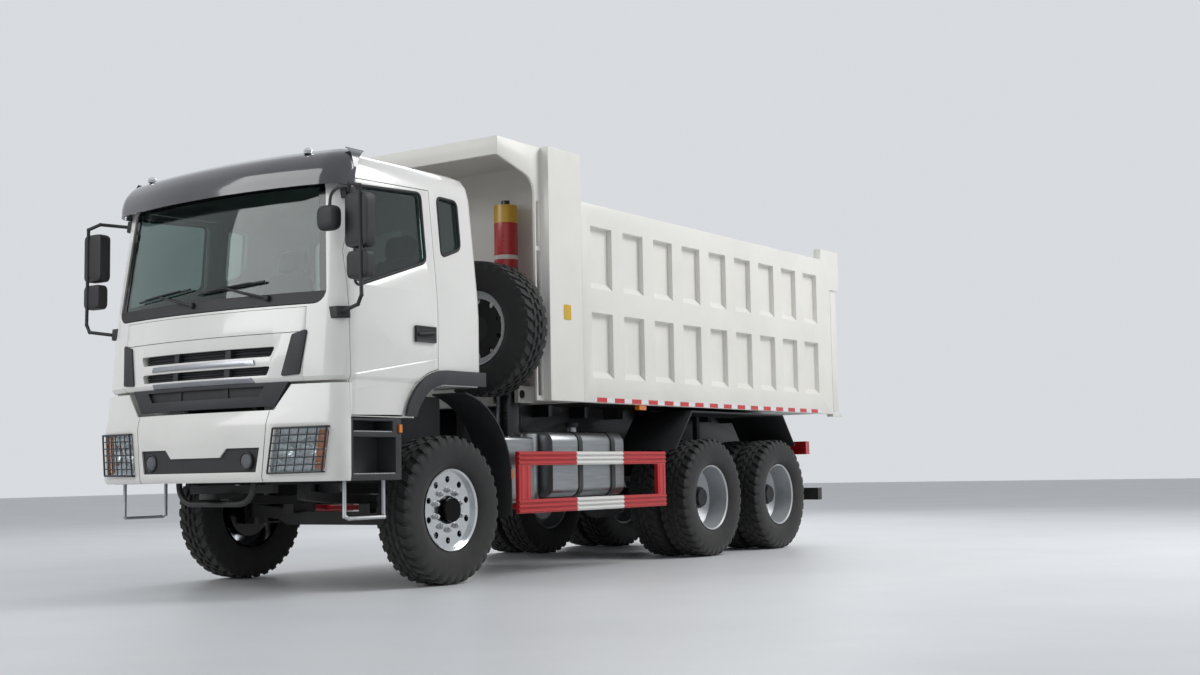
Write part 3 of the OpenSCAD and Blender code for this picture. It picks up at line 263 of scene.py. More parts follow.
# The spare's dark middle reaches out to 0.238 m: painted shade over its whole disc, inside a silver rim ring.
finishes["spare_wheel"] = wheel_finish("silver_lacquer_spare", lacquer, middle("spare_wheel"), "Y", 0.3, (0.3, 0.42),
                                       0.238)
print(len(finishes), "wheel finishes")

# %% [markdown]
# Every solid now takes its finish. A table of name and material is easier to check than one assignment per solid.

# %% Finishes of the solids
families = [
    (cab_white, "cab_shell cab_front door_left door_right front_bumper"),
    (bed_base, "bed_floor"), (bed_white, "bed_side_left bed_side_right headboard tailgate"),
    (chassis_black, "frame_rails cross_members front_axle rear_bogie brackets tank_straps knuckle_left knuckle_right"
     " lamp_guards"),
    (trim_black, "mirrors bumper_grille mudguards seats"),
    (trim_grey, "step_boxes cab_trim dashboard"),
    (iron, "driveline"), (red_lens, "rear_lamps"), (visor_smoke, "visor"), (tank_metal, "chassis_tanks"),
    (guard_red, "side_guards"), (hoist_red, "lift_barrel"), (steel, "stirrups"),
    (chrome, "lift_stage_1 lift_stage_2 lift_rod"), (bright, "grille_bars"),
    (glass, "windscreen cab_glass door_glass_left door_glass_right head_lamps"),
    (rubber, " ".join(n for n in solids if "tyre" in n))]
for material, names in families:
    finishes.update({name: material for name in names.split()})
for name, solid in solids.items():
    solid.data.materials.clear()
    solid.data.materials.append(finishes[name])
print(len(finishes), "solids have a finish")

# %% [markdown]
# The solids come as loose triangles with knife edges. Real plate is bent and real mouldings have radii, so each solid
# gets a weld that joins the triangles and a node group that shades every edge below a set angle as smooth, and the
# solids in the table below also get a small bevel on their sharp edges. The solids' own meshes stay as they are.

# %% Soft edges on the solids
smooth = bpy.data.node_groups.new("shade_by_angle", "GeometryNodeTree")
for way in ("INPUT", "OUTPUT"):
    smooth.interface.new_socket("Geometry", in_out=way, socket_type="NodeSocketGeometry")
start = node(smooth, "NodeGroupInput")
angle = node(smooth, "GeometryNodeInputMeshEdgeAngle")
sharp = node(smooth, "FunctionNodeCompare", {0: (angle, 0)}, {1: math.radians(32)}, operation="GREATER_THAN")
soft = node(smooth, "GeometryNodeSetShadeSmooth", {"Geometry": (start, 0)}, {"Shade Smooth": True}, domain="FACE")
hard = node(smooth, "GeometryNodeSetShadeSmooth", {"Geometry": (soft, 0), "Selection": (sharp, 0)},
            {"Shade Smooth": False}, domain="EDGE")
node(smooth, "NodeGroupOutput", {0: (hard, 0)})
bevel_mm = {"bed_side_left": 7, "bed_side_right": 7, "headboard": 7, "tailgate": 6, "door_left": 4, "door_right": 4,
            "front_bumper": 3, "cab_front": 4, "side_guards": 5, "step_boxes": 6, "chassis_tanks": 5, "bed_floor": 4,
            "visor": 4, "cab_trim": 3, "grille_bars": 3, "mudguards": 3, "frame_rails": 4, "mirrors": 6}
for name, solid in solids.items():
    solid.modifiers.new("weld", "WELD").merge_threshold = 0.00005
    if name in bevel_mm:
        bevel = solid.modifiers.new("edge", "BEVEL")
        bevel.width, bevel.segments = bevel_mm[name] / 1000, 2
        bevel.limit_method, bevel.angle_limit = "ANGLE", math.radians(32)
    solid.modifiers.new("shade", "NODES").node_group = smooth
print(len(bevel_mm), "solids have soft edges")

# %% [markdown]
# New pieces are surfaces worked out with numpy. A piece is one or more grids of points; neighbours on a grid make a
# face, and a grid may close on itself along either way. Points that meet are merged, which closes seams and poles, and
# the faces are then turned outwards.

# %% From grids to pieces
def weave(name, patches, body, material, hides=(), angle=35.0):
    """patches: (points of shape m, n, 3, closed along m, closed along n). Each cell of four neighbours is one face."""
    points, faces, base = [], [], 0
    for grid, wrap_m, wrap_n in patches:
        m, n = grid.shape[:2]
        index = base + np.arange(m * n).reshape(m, n)
        index = np.concatenate([index, index[:1]]) if wrap_m else index
        index = np.concatenate([index, index[:, :1]], axis=1) if wrap_n else index
        faces.append(np.stack([index[:-1, :-1], index[1:, :-1], index[1:, 1:], index[:-1, 1:]], -1).reshape(-1, 4))
        points.append(grid.reshape(-1, 3))
        base += m * n
    mesh = bpy.data.meshes.new(name)
    mesh.from_pydata(np.concatenate(points).tolist(), [], np.concatenate(faces).tolist())
    work = bmesh.new()
    work.from_mesh(mesh)
    bmesh.ops.remove_doubles(work, verts=work.verts, dist=2e-5)
    bmesh.ops.recalc_face_normals(work, faces=work.faces)
    work.to_mesh(mesh)
    work.free()
    mesh.shade_smooth()
    mesh.set_sharp_from_angle(angle=math.radians(angle))
    mesh.materials.append(material)
    piece = bpy.data.objects.new(name, mesh)
    bpy.context.scene.collection.objects.link(piece)
    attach(piece, body)
    if hides:
        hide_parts(*hides)
    return piece


def moulding(name, patches, body, hides=()):
    """A piece of black moulded plastic."""
    return weave(name, patches, body, trim_black, hides)


def lathe(profile, centre, along, count):
    """Carries a profile of (distance along the axis, radius) round an axis: the two other axes get radius times cosine
    and sine of the angle."""
    angle = np.linspace(0, 2 * np.pi, count, endpoint=False)[:, None]
    shape = np.broadcast_arrays(profile[None, :, 0], profile[None, :, 1] * np.cos(angle),
                                profile[None, :, 1] * np.sin(angle))
    order = {"X": (0, 1, 2), "Y": (1, 0, 2), "Z": (2, 0, 1)}[along]
    grid = np.zeros((count, len(profile), 3))
    for column, value in zip(order, shape):
        grid[..., column] = value
    return grid + np.asarray(centre)


def unit_grid(m, n):
    """Two grids of m by n numbers: how far each point lies along the first way and along the second, from 0 to 1."""
    return np.meshgrid(np.linspace(0, 1, m), np.linspace(0, 1, n), indexing="ij")


def points_at(x, y, z):
    """Points from three grids or numbers, with y counted from the front axle."""
    return np.stack(np.broadcast_arrays(x, y + axle, z), axis=-1)


print("weave and lathe ready")

# %% [markdown]
# A traction tyre is a ring whose radius depends on two things: how far across the tread a point lies, and where it is
# along one pitch of the pattern. The grid itself is slanted like the lugs, so every groove follows grid lines and stays
# crisp with few faces. Modelling one lug and repeating it would need joins at every pitch.

# %% Tyres
lug, pitches, twin = 0.016, 36, 0.1675


def tyre(centre, along, hand):
    """Rows run from bead to bead across the tread; columns go round. Radius = row radius less groove depth. Groove
    depth = lug depth times a cross groove that is open over two fifths of each pitch and times the row's share."""
    across = np.array([-105, -112, -124, -138, -146, -150, -150, -147, -143, -138, -132, -126, -58, -52, -46, -40, -12,
                       -6]) / 1000
    radius = np.array([298, 303, 318, 345, 378, 420, 455, 480, 498, 516, 530, 538, 541, 541.5, 541.5, 542, 542,
                       542]) / 1000
    share = np.array([0, 0, 0, 0, 0, 0, 0, 0.15, 0.5, 0.85, 1, 1, 1, 0, 0, 0.6, 0.6, 0])
    whole = np.array([0, 0, 0, 0, 0, 0, 0, 0, 0, 0, 0, 0, 0, 1, 1, 0, 0, 1])
    rib = np.array([0, 0.5, 0, 0, 1.2, 1.2, 0, 0, 0, 0, 0, 0, 0, 0, 0, 0, 0, 0]) / 1000
    across, radius = np.append(across, -across[::-1]), np.append(radius, radius[::-1])
    share, whole, rib = np.append(share, share[::-1]), np.append(whole, whole[::-1]), np.append(rib, rib[::-1])
    slant = np.where(np.abs(across) > 0.05, 6.0, -4.0) * (np.abs(across) - 0.05) + np.where(across > 0, 0.5, 0.0)
    slant = slant + np.where(np.abs(across) < 0.05, 0.5, 0.0)
    step = np.array([0.0, 0.18, 0.23, 0.5, 0.77, 0.82])
    turn = (np.arange(pitches)[:, None] + step).reshape(-1, 1)
    open_here = np.tile([1.0, 1.0, 0.0, 0.0, 0.0, 1.0], pitches)[:, None]
    depth = lug * np.maximum(open_here * share, whole)
    angle = hand * 2 * np.pi * (turn + slant) / pitches
    r = radius + rib - depth
    grid = np.zeros((*r.shape, 3))
    axis, other = (0, 1) if along == "X" else (1, 0)
    grid[..., axis] = across
    grid[..., other], grid[..., 2] = r * np.cos(angle), r * np.sin(angle)
    inner = np.stack([grid[:, -1], grid[:, 0]], axis=1)
    return [(grid + np.asarray(centre), True, False), (inner + np.asarray(centre), True, False)]


for side, hand in sides:
    name = f"front_tyre_{side}"
    weave(f"tread_{name}", tyre(middle(name), "X", hand), f"wheel_front_{side}", rubber, (name,))
    for n, _ in rear_axles:
        name = f"rear_tyres_{side}_{n}"
        pair = sum((tyre(middle(name) + [s * twin, 0, 0], "X", hand) for s in (-1, 1)), [])
        weave(f"tread_{name}", pair, f"wheel_rear_{side}_{n}", rubber, (name,))
weave("tread_spare", tyre(middle("spare_tyre"), "Y", 1), "chassis", rubber, ("spare_tyre",))
print("eleven tyres with", pitches, "pitches")

# %% [markdown]
# Ten flanged nuts hold each wheel. A nut is a lathe shape with six sides, its washer one with twenty; both repeat on a
# circle of 145 mm radius. The black hub caps of the rear wheels and the spare's bare middle stay as the solids have
# them.

# %% Wheel nuts
def nut(face, out):
    """Profile of a nut: up the washer's rim, up the hexagon, over its chamfer to the middle."""
    washer = np.array([[0, 0], [0, 23], [4, 23], [5, 20], [5, 0]]) / 1000
    body = np.array([[4, 0], [4, 19], [24, 19], [27, 16], [27, 12], [36, 11], [37, 9], [37, 0]]) / 1000
    washer[:, 0], body[:, 0] = face + out * washer[:, 0], face + out * body[:, 0]
    return washer, body


def nut_circle(centre, face, out, along="X"):
    """Copies the nut to ten angles, 36 degrees apart, on a circle about the axle."""
    turns = np.radians(36 * np.arange(10) + 18)
    first, second = (1, 2) if along == "X" else (0, 2)
    patches = []
    for angle in turns:
        spot = np.array(centre, float)
        spot[first] += 0.145 * math.cos(angle)
        spot[second] += 0.145 * math.sin(angle)
        for profile, count in zip(nut(face, out), (20, 6)):
            patches.append((lathe(profile, spot, along, count), True, False))
    return patches


for side, s in sides:
    spot = [s * 1.040, axle, wheel_r]
    weave(f"nuts_front_{side}", nut_circle(spot, s * 0.079, s), f"wheel_front_{side}", steel)
    for n, y in rear_axles:
        spot = [s * 0.9325, y + axle, wheel_r]
        weave(f"nuts_rear_{side}_{n}", nut_circle(spot, s * 0.018, s), f"wheel_rear_{side}_{n}", steel)
print("sixty wheel nuts")

# %% [markdown]
# Several pieces follow the cab's nose: lamps, guards, wipers, seals. The nose is a wide arc of 4.5 m radius with round
# corners, and its front, half width and corner radius change with height. These functions give the depth at a place
# across the front, and the width at a place along the side.

# %% The shape of the nose
cab_rows = np.array([[1.445, -1.345, 1.206, 0.18], [1.475, -1.365, 1.220, 0.19], [1.96, -1.325, 1.220, 0.185],
                     [2.1, -1.307, 1.212, 0.175], [2.5, -1.260, 1.172, 0.165], [2.86, -1.215, 1.138, 0.15],
                     [2.95, -1.170, 1.118, 0.14], [3.01, -1.10, 1.08, 0.125]])
arc_r = 4.5


def corner_start(front, half, corner):
    """Angle at which the wide arc meets the corner's circle, and how far back the circle's middle lies."""
    lean = np.arcsin((half - corner) / (arc_r - corner))
    return lean, front + arc_r - (arc_r - corner) * np.cos(lean)


def cab_row(z):
    """Front, half width and corner radius of the cab at a height."""
    return (np.interp(z, cab_rows[:, 0], cab_rows[:, k]) for k in (1, 2, 3))


def plan(x, front, half, corner):
    """Depth of the plan at x: the wide arc up to the corner, then the corner's circle."""
    x = np.abs(x)
    lean, corner_y = corner_start(front, half, corner)
    edge = half - corner + corner * np.sin(lean)
    wide = front + arc_r - np.sqrt(np.maximum(arc_r ** 2 - x ** 2, 0))
    tight = corner_y - np.sqrt(np.maximum(corner ** 2 - (x - half + corner) ** 2, 0))
    return np.where(x < edge, wide, tight)


def nose(x, z, out=0.0):
    """Point of the cab's front at x and height z, moved out by a distance."""
    front, half, corner = cab_row(z)
    y = plan(x, front - out, half + out, corner + out)
    return points_at(x, y, z)


def flank(y, z, out=0.0):
    """Point of the cab's left side at y (from the front axle) and height z, moved out by a distance."""
    front, half, corner = cab_row(z)
    _, corner_y = corner_start(front, half, corner)
    into = np.minimum(y - corner_y, 0)
    x = half - corner + out + np.sqrt(np.maximum(corner ** 2 - into ** 2, 0))
    return points_at(x, y, z)


def tube(path, radius, sides=10, closed=False):
    """Carries a circle along a path: each ring stands square to the way the path runs; open ends close on a point."""
    path = np.asarray(path, float)
    step = (np.roll(path, -1, 0) - np.roll(path, 1, 0)) if closed else np.gradient(path, axis=0)
    step = step / np.linalg.norm(step, axis=1, keepdims=True)
    lead = [0.31, 0.12, 0.94]
    if np.abs(step @ lead).max() >= 0.97:
        lead = [0.9, -0.4, 0.1]
    side = np.cross(step, lead)
    side = side / np.linalg.norm(side, axis=1, keepdims=True)
    rise = np.cross(step, side)
    angle = np.linspace(0, 2 * np.pi, sides, endpoint=False)[None, :, None]
    grid = path[:, None] + radius * (np.cos(angle) * side[:, None] + np.sin(angle) * rise[:, None])
    if not closed:
        ends = [np.repeat(path[k][None, None], sides, axis=1) for k in (0, -1)]
        grid = np.concatenate([ends[0], grid, ends[1]])
    return grid, closed, True


def slab(front, back):
    """Closes two grids of the same shape into one thick sheet: the two faces and the strip round their edge."""
    rim = lambda g: np.concatenate([g[0], g[1:, -1], g[-1, -2::-1], g[-2:0:-1, 0]])
    return [(front, False, False), (back, False, False), (np.stack([rim(front), rim(back)]), False, True)]


def smooth_path(corners, radius, per=6):
    """Rounds the corners of a polyline: each inner corner becomes a curve of second degree between two points that lie
    a radius away on its sides."""
    corners = np.asarray(corners, float)
    way = np.linspace(0, 1, per)[:, None]
    pieces = [corners[:1]]
    for a, b, c in zip(corners[:-2], corners[1:-1], corners[2:]):
        p = b + (a - b) / np.linalg.norm(a - b) * min(radius, np.linalg.norm(a - b) / 2)
        q = b + (c - b) / np.linalg.norm(c - b) * min(radius, np.linalg.norm(c - b) / 2)
        pieces.append((1 - way) ** 2 * p + 2 * way * (1 - way) * b + way ** 2 * q)
    return np.concatenate(pieces + [corners[-1:]])


def block(low, high):
    """Six faces of a box as one ring of four corners along Y, closed by its two ends."""
    (a, b, c), (d, e, f) = low, high
    ring = np.array([[a, c], [d, c], [d, f], [a, f]])
    grid = np.zeros((4, 4, 3))
    grid[..., 1] = np.array([b, b, e, e])[:, None]
    grid[..., 0], grid[..., 2] = ring[None, :, 0], ring[None, :, 1]
    grid[0], grid[3] = grid[0].mean(0), grid[3].mean(0)
    return grid, False, True


print("nose at the middle", nose(np.array(0.0), np.array(1.5)).round(3))

# %% [markdown]
# A head lamp is a deep tray of bright plastic with two round bowls, an amber corner and a clear cover. The tray is a
# height field over the lamp's four-sided outline: how deep it lies is worked out for each point, flutes included.

# %% Head lamps
lamp_corners = np.array([[0.694, 0.828], [1.114, 0.834], [1.153, 1.133], [0.739, 1.130]])
chromed = finish("metallised_reflector", ("#e0e3e6", "#d0d4d7"), 120, 8, 0.05, (0.12, 0.22), metal=0.85)
cover = clear("clear_polycarbonate", ("#eef1f2", "#e4e9ea"), 0.02, 1.45)


def lamp_spot(a, b):
    """Place on the outline: the four corners weighed by a across and b upwards."""
    c = lamp_corners
    a, b = a[..., None], b[..., None]
    return c[0] * (1 - a) * (1 - b) + c[1] * a * (1 - b) + c[2] * a * b + c[3] * (1 - a) * b


def bumper_y(x, out):
    """Depth of the bumper's face at x, a distance in front of it."""
    return plan(x, -1.4 - out, 1.232 + out, 0.125 + out) + axle


def lamp_sheet(a, b, out, s):
    """Points at distance out (a grid or a number) in front of the bumper's face, mirrored by s."""
    xz = lamp_spot(a, b)
    return np.stack([s * xz[..., 0], bumper_y(xz[..., 0], 0.0) - out, xz[..., 1]], axis=-1)


a, b = unit_grid(97, 65)
xz = lamp_spot(a, b)
depth = 0.035 + 0.003 * np.cos(2 * np.pi * a * 30)
for x, z, r in ((0.805, 0.985, 0.082), (0.985, 0.985, 0.078)):
    away = np.hypot(xz[..., 0] - x, xz[..., 1] - z) / r
    depth = np.where(away < 1, 0.025 + 0.055 * (1 - away ** 2), depth)
edge = np.minimum(np.minimum(a, 1 - a), np.minimum(b, 1 - b))
depth = np.where(edge < 0.02, 0.006, depth)
for side, s in sides:
    weave(f"lamp_tray_{side}", slab(lamp_sheet(a, b, -depth, s), lamp_sheet(a, b, -depth - 0.004, s)), "chassis",
          chromed, ("head_lamps",), 50)
    ga, gb = a[::12, ::16], b[::12, ::16]
    weave(f"lamp_cover_{side}", slab(lamp_sheet(ga, gb, 0.001, s), lamp_sheet(ga, gb, -0.003, s)), "chassis", cover,
          ("head_lamps",))
    ca, cb = np.meshgrid(np.linspace(0.8, 0.985, 15), np.linspace(0.06, 0.94, 25), indexing="ij")
    wavy = -0.016 + 0.002 * np.cos(2 * np.pi * cb * 12)
    weave(f"lamp_amber_{side}", slab(lamp_sheet(ca, cb, wavy, s), lamp_sheet(ca, cb, -0.03, s)), "chassis",
          amber_lens)
print("two head lamps")

# %% [markdown]
# A guard of welded round wire stands in front of each lamp: a frame, seven wires each way and four feet on the bumper.
# Each wire is a circle carried along a line that keeps its distance from the bumper's curve.

# %% Lamp guards
wire = finish("wire_enamel_black", ("#1a1b1d", "#26272a"), 80, 6, 0.2, (0.3, 0.5))
line = np.linspace(0, 1, 13)
for side, s in sides:
    wires = []
    for t in np.linspace(0, 1, 7):
        thick = 0.007 if t in (0.0, 1.0) else 0.0042
        wires.append(tube(lamp_sheet(np.full(13, t), line, 0.024, s), thick))
        wires.append(tube(lamp_sheet(line, np.full(13, t), 0.024, s), thick))
    for p, q in ((0, 0), (0, 1), (1, 0), (1, 1)):
        foot = lamp_sheet(np.full(3, float(p)), np.full(3, float(q)), np.array([0.024, 0.01, -0.004]), s)
        wires.append(tube(foot, 0.007))
    weave(f"lamp_wires_{side}", wires, "chassis", wire, ("lamp_guards",))
print("two lamp guards of", len(wires), "wires")

# %% [markdown]
# The smoked visor is a moulded sheet over the windscreen. The solid has a few flat rows; here a smooth curve runs
# through the same rows, so light slides over it. A second sheet inside gives it its wall, and two marker lamps sit on
# top. Subdividing the solid would be quicker, but it would draw in the sharp lower edge.

# %% Visor
rows = np.array([[2.785, -1.330, 1.166, 0.205], [2.86, -1.322, 1.168, 0.205], [2.94, -1.290, 1.162, 0.200],
                 [3.015, -1.220, 1.140, 0.190], [3.066, -1.110, 1.090, 0.170]])
fine = np.linspace(0, 4, 33)


def through(values):
    """Smooth curve through rows: a cubic between rows with the slope of the neighbouring rows."""
    slope = np.gradient(values)
    k = np.minimum(fine.astype(int), 3)
    t = fine - k
    return ((2 * t ** 3 - 3 * t ** 2 + 1) * values[k] + (t ** 3 - 2 * t ** 2 + t) * slope[k]
            + (3 * t ** 2 - 2 * t ** 3) * values[k + 1] + (t ** 3 - t ** 2) * slope[k + 1])


height, front, half, corner = (through(rows[:, k])[:, None] for k in range(4))
lean, corner_y = corner_start(front, half, corner)
q = np.linspace(0, 1, 41)[None, :]
arc_x, arc_y = arc_r * np.sin(lean * q), front + arc_r - arc_r * np.cos(lean * q)
swing = lean + (np.pi / 2 - lean) * np.linspace(0, 1, 17)[None, 1:]
bend_x, bend_y = half - corner + corner * np.sin(swing), corner_y - corner * np.cos(swing)
side_y = corner_y + (-1.02 - corner_y) * np.linspace(0, 1, 7)[None, 1:]
half_x = np.concatenate([arc_x, bend_x, np.repeat(half, 6, axis=1)], axis=1)
half_y = np.concatenate([arc_y, bend_y, np.broadcast_to(side_y, (33, 6))], axis=1)
skin = points_at(np.concatenate([-half_x[:, :0:-1], half_x], 1), np.concatenate([half_y[:, :0:-1], half_y], 1), height)
inner = skin.copy()
inner[..., 0] *= 0.988
inner[..., 1] += 0.013
inner[-1, :, 2] -= 0.006
weave("visor_skin", slab(skin, inner), "cab", visor_smoke, ("visor",), 50)
markers = []
for x in (-0.82, 0.82):
    dome = np.array([[-0.02, 0], [-0.02, 0.03], [0.0, 0.034], [0.012, 0.028], [0.022, 0.016], [0.026, 0]])
    markers.append((lathe(dome, [x, -1.125 + 0.02 * abs(x) + axle, 3.055], "Z", 24), True, False))
weave("marker_lamps", markers, "cab", chromed)
print("visor of", skin.shape[0] * skin.shape[1], "points")

# %% [markdown]
# The mirror heads are soft-edged shells. A superellipse gives their outline in front view and a second one their
# depth, so a box turns into a moulded form by two exponents. Their glass is a thin plate that faces backwards.

# %% Mirrors
mirror_glass = finish("silvered_mirror", ("#c9d0d3", "#c2c9cc"), 300, 40, 0.005, (0.02, 0.05), metal=1.0)


def pillow(middle_at, reach, edge=0.35, count=(25, 48)):
    """Superellipsoid: cosine and sine of two angles, each raised to a power below one, times the half sizes."""
    up = np.linspace(-np.pi / 2, np.pi / 2, count[0])[:, None]
    round_ = np.linspace(0, 2 * np.pi, count[1], endpoint=False)[None, :]
    power = lambda v: np.sign(v) * np.abs(v) ** edge
    shape = np.broadcast_arrays(power(np.cos(up)) * power(np.cos(round_)), power(np.sin(up)),
                                power(np.cos(up)) * power(np.sin(round_)))
    return np.stack(shape, axis=-1) * np.asarray(reach) + np.asarray(middle_at), False, True


for side, s in sides:
    shells, plates = [], []
    for x, y, z, reach in ((1.37, -1.176, 2.5, (0.099, 0.05, 0.184)), (1.377, -1.181, 2.2, (0.091, 0.045, 0.094))):
        shells.append(pillow((s * x, y + axle, z), reach, 0.3))
        plates.append(pillow((s * x, y + reach[1] + axle, z), (reach[0] - 0.014, 0.004, reach[2] - 0.014), 0.25))
    moulding(f"mirror_heads_{side}", shells, "cab")
    weave(f"mirror_plates_{side}", plates, "cab", mirror_glass)
print("four mirror heads")

# %% [markdown]
# Under the windscreen lies a black cowl, and the glass itself has a black printed border. Both are strips that follow
# the nose a few millimetres outside the glass. Two wipers rest on it: an arm from its pivot and a blade that bends with
# the glass.

# %% Cowl, glass border and wipers
def strip(x0, x1, z0, z1, out, thick, cells=(61, 5)):
    """Sheet on the nose between two edge lines given as heights at both ends, moved out and given a thickness."""
    u, v = unit_grid(cells[0], cells[1])
    x = x0 + (x1 - x0) * u
    z = (z0[0] + (z0[1] - z0[0]) * u) * (1 - v) + (z1[0] + (z1[1] - z1[0]) * u) * v
    return slab(nose(x, z, out), nose(x, z, out - thick))


border = finish("ceramic_border_black", ("#0f1011", "#151617"), 100, 6, 0.02, (0.12, 0.25), coat=0.3)
moulding("cowl", strip(-1.068, 1.068, (1.975, 1.975), (2.055, 2.055), -0.004, 0.008), "cab")
edges = strip(-0.98, 0.98, (2.79, 2.79), (2.838, 2.838), -0.011, 0.003)
for s in (-1, 1):
    u, v = unit_grid(5, 41)
    z = 2.05 + 0.76 * v
    x = s * (1.066 - 0.09 * (z - 1.968) / 0.88 - 0.05 * u)
    edges += slab(nose(x, z, -0.011), nose(x, z, -0.014))
weave("glass_border", edges, "cab", border)
wipers = []
for x0, x1 in ((0.60, -0.06), (-0.12, -0.78)):
    way = np.linspace(0, 1, 25)
    pivot, tip = np.array([x0, 2.03]), np.array([x1 + 0.28, 2.125])
    arm = pivot + (tip - pivot) * way[:, None]
    wipers.append(tube(nose(arm[:, 0], arm[:, 1], 0.012 + 0.02 * np.sin(np.pi * way)), 0.009))
    blade_x, blade_z = x1 + 0.62 * way, 2.105 + 0.045 * way
    wipers.append(tube(nose(blade_x, blade_z, 0.004), 0.008))
    wipers.append(tube(nose(blade_x[4:-4], blade_z[4:-4] + 0.004, 0.02), 0.006))
    cap = np.array([[-0.03, 0], [-0.03, 0.022], [0.012, 0.022], [0.018, 0.016], [0.02, 0]])
    spot = nose(np.array(x0), np.array(2.03), 0.004)
    wipers.append((lathe(cap * [-1, 1], spot, "Y", 20), True, False))
moulding("wipers", wipers, "cab")
print("cowl, border and two wipers")

# %% [markdown]
# A rubber seal runs round every side window, and each door has a moulded pull handle in a dark cup. The seal is a tube
# along the window's outline laid on the cab's side; the right side is the same path with its X turned round.

# %% Window seals and door handles
seal = finish("epdm_rubber", ("#18191a", "#202122"), 60, 3, 0.15, (0.55, 0.75))


def outline(corners, radius, per=8):
    """Closed outline with round corners: the rounding of smooth_path on a ring of corners."""
    corners = np.asarray(corners, float)
    ring = np.concatenate([corners[-1:], corners, corners[:1]])
    return smooth_path(ring, radius, per)[1:-1]


def dense(path, step=0.03):
    """Adds points along a closed path so that none lie further apart than a step."""
    ends = np.roll(path, -1, 0)
    counts = np.maximum(np.ceil(np.linalg.norm(ends - path, axis=1) / step).astype(int), 1)
    share = np.concatenate([np.arange(c) / c for c in counts])[:, None]
    return np.repeat(path, counts, 0) * (1 - share) + np.repeat(ends, counts, 0) * share


door_view = [[-1.050, 2.085], [-0.303, 2.325], [-0.303, 2.836], [-0.990, 2.796]]
quarter_view = [[-0.118, 2.385], [0.104, 2.465], [0.104, 2.828], [-0.118, 2.834]]
for side, s in sides:
    for name, view, body in (("door", door_view, f"door_{side}"), ("quarter", quarter_view, "cab")):
        path = dense(outline(view, 0.05))
        loop = flank(path[:, 0], path[:, 1], -0.004) * [s, 1, 1]
        weave(f"{name}_seal_{side}", [tube(loop, 0.012, 10, True)], body, seal)
    u, v = np.meshgrid(np.linspace(-1, 1, 25), np.linspace(-1, 1, 17), indexing="ij")
    cup = np.clip(np.maximum(np.abs(u), np.abs(v)) ** 6, 0, 1)
    y, z = -0.357 + 0.108 * u, 1.797 + 0.058 * v
    face, rear = flank(y, z, 0.021), flank(y, z, 0.001)
    face[..., 0] -= 0.004 * (1 - cup)
    grip_y = np.linspace(-0.445, -0.265, 21)
    swell = 0.012 * np.sin(np.linspace(0, np.pi, 21)) ** 0.5
    grip = flank(grip_y, 1.802 + 0.1 * (grip_y + 0.355), 0.02)
    grip[:, 0] += swell
    parts = slab(face * [s, 1, 1], rear * [s, 1, 1]) + [tube(grip * [s, 1, 1], 0.011)]
    moulding(f"door_handle_{side}", parts, f"door_{side}")
print("four seals and two handles")

# %% [markdown]
# A crease rises along each door, and the panel leans out below it. The sheet over the lower edge of the crease stands
# off the door by a few millimetres at its top and runs out to nothing, so light breaks along one clean line.

# %% Door creases
u, v = unit_grid(61, 13)
y = -1.085 + 0.863 * u
line = 1.482 + 0.1656 * (y + 1.128)
sill = np.where(y < -0.587, 1.213, 1.1 + np.sqrt(np.maximum(0.463 ** 2 - (y + 0.14) ** 2, 0)))
z = line - np.minimum(0.11, line - sill - 0.004) * v
rise = 0.0004 + 0.0065 * np.minimum(v / 0.08, (1 - v) / 0.92) * np.minimum(1, np.minimum(u, 1 - u) / 0.03)
for side, s in sides:
    crease = slab(flank(y, z, rise) * [s, 1, 1], flank(y, z, -0.001) * [s, 1, 1])
    weave(f"door_crease_{side}", crease, f"door_{side}", cab_white, (), 50)
print("door creases")

# %% [markdown]
# A black splash plate stands beside the engine in each front wheel arch. Its upper edge follows the arch under the cab
# floor at a safe distance, so the cab tilts freely over it.

# %% Splash plates
u, v = unit_grid(41, 5)
y = -0.6 + 1.18 * u
arch = 1.1 + np.sqrt(np.maximum(0.325 ** 2 - np.minimum(y + 0.14, 0) ** 2, 0))
z = 0.9 + (np.where(y < -0.455, 1.17, np.minimum(arch, 1.405)) - 0.9) * v
for side, s in sides:
    plates = [points_at(s * x, y, z) for x in (0.561, 0.555)]
    moulding(f"splash_plate_{side}", slab(*plates), "chassis")
print("splash plates")

# %% [markdown]
# The side guards are folded from sheet with three shallow ribs along each rail. A cosine across the rail gives the
# ribs; the sheet lies on the guard's solid, which keeps the red and white from its place along Y.

# %% Ribbed side guards
guard_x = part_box("side_guards")[1][0]
rail_span = (0.70, 2.84)


def ribbed(y, z, bulge, s):
    """Sheet on the guard's outer face, raised by the bulge, with its back two millimetres inside the solid."""
    return slab(points_at(guard_x + bulge, y, z) * [s, 1, 1], points_at(guard_x - 0.002, y, z) * [s, 1, 1])


for side, s in sides:
    parts = []
    for z0, z1 in ((0.49, 0.596), (0.859, 0.965)):
        u, v = unit_grid(3, 61)
        wave = np.clip(np.cos(2 * np.pi * 3 * (v - 1 / 6)), -0.6, 0.6) / 0.6
        bulge = np.maximum(0.001 + 0.007 * wave * (np.minimum(v, 1 - v) > 0.02), 0)
        parts += ribbed(rail_span[0] + (rail_span[1] - rail_span[0]) * u, z0 + (z1 - z0) * v, bulge, s)
    for y0, y1 in ((0.705, 0.85), (2.715, 2.835)):
        u, v = unit_grid(31, 3)
        bulge = 0.001 + 0.006 * np.clip(np.cos(2 * np.pi * 2 * (u - 1 / 4)), 0, 0.6) / 0.6
        parts += ribbed(y0 + (y1 - y0) * u, 0.6 + 0.255 * v, bulge, s)
    weave(f"guard_ribs_{side}", parts, "chassis", guard_red, (), 50)
print("ribs on both side guards")

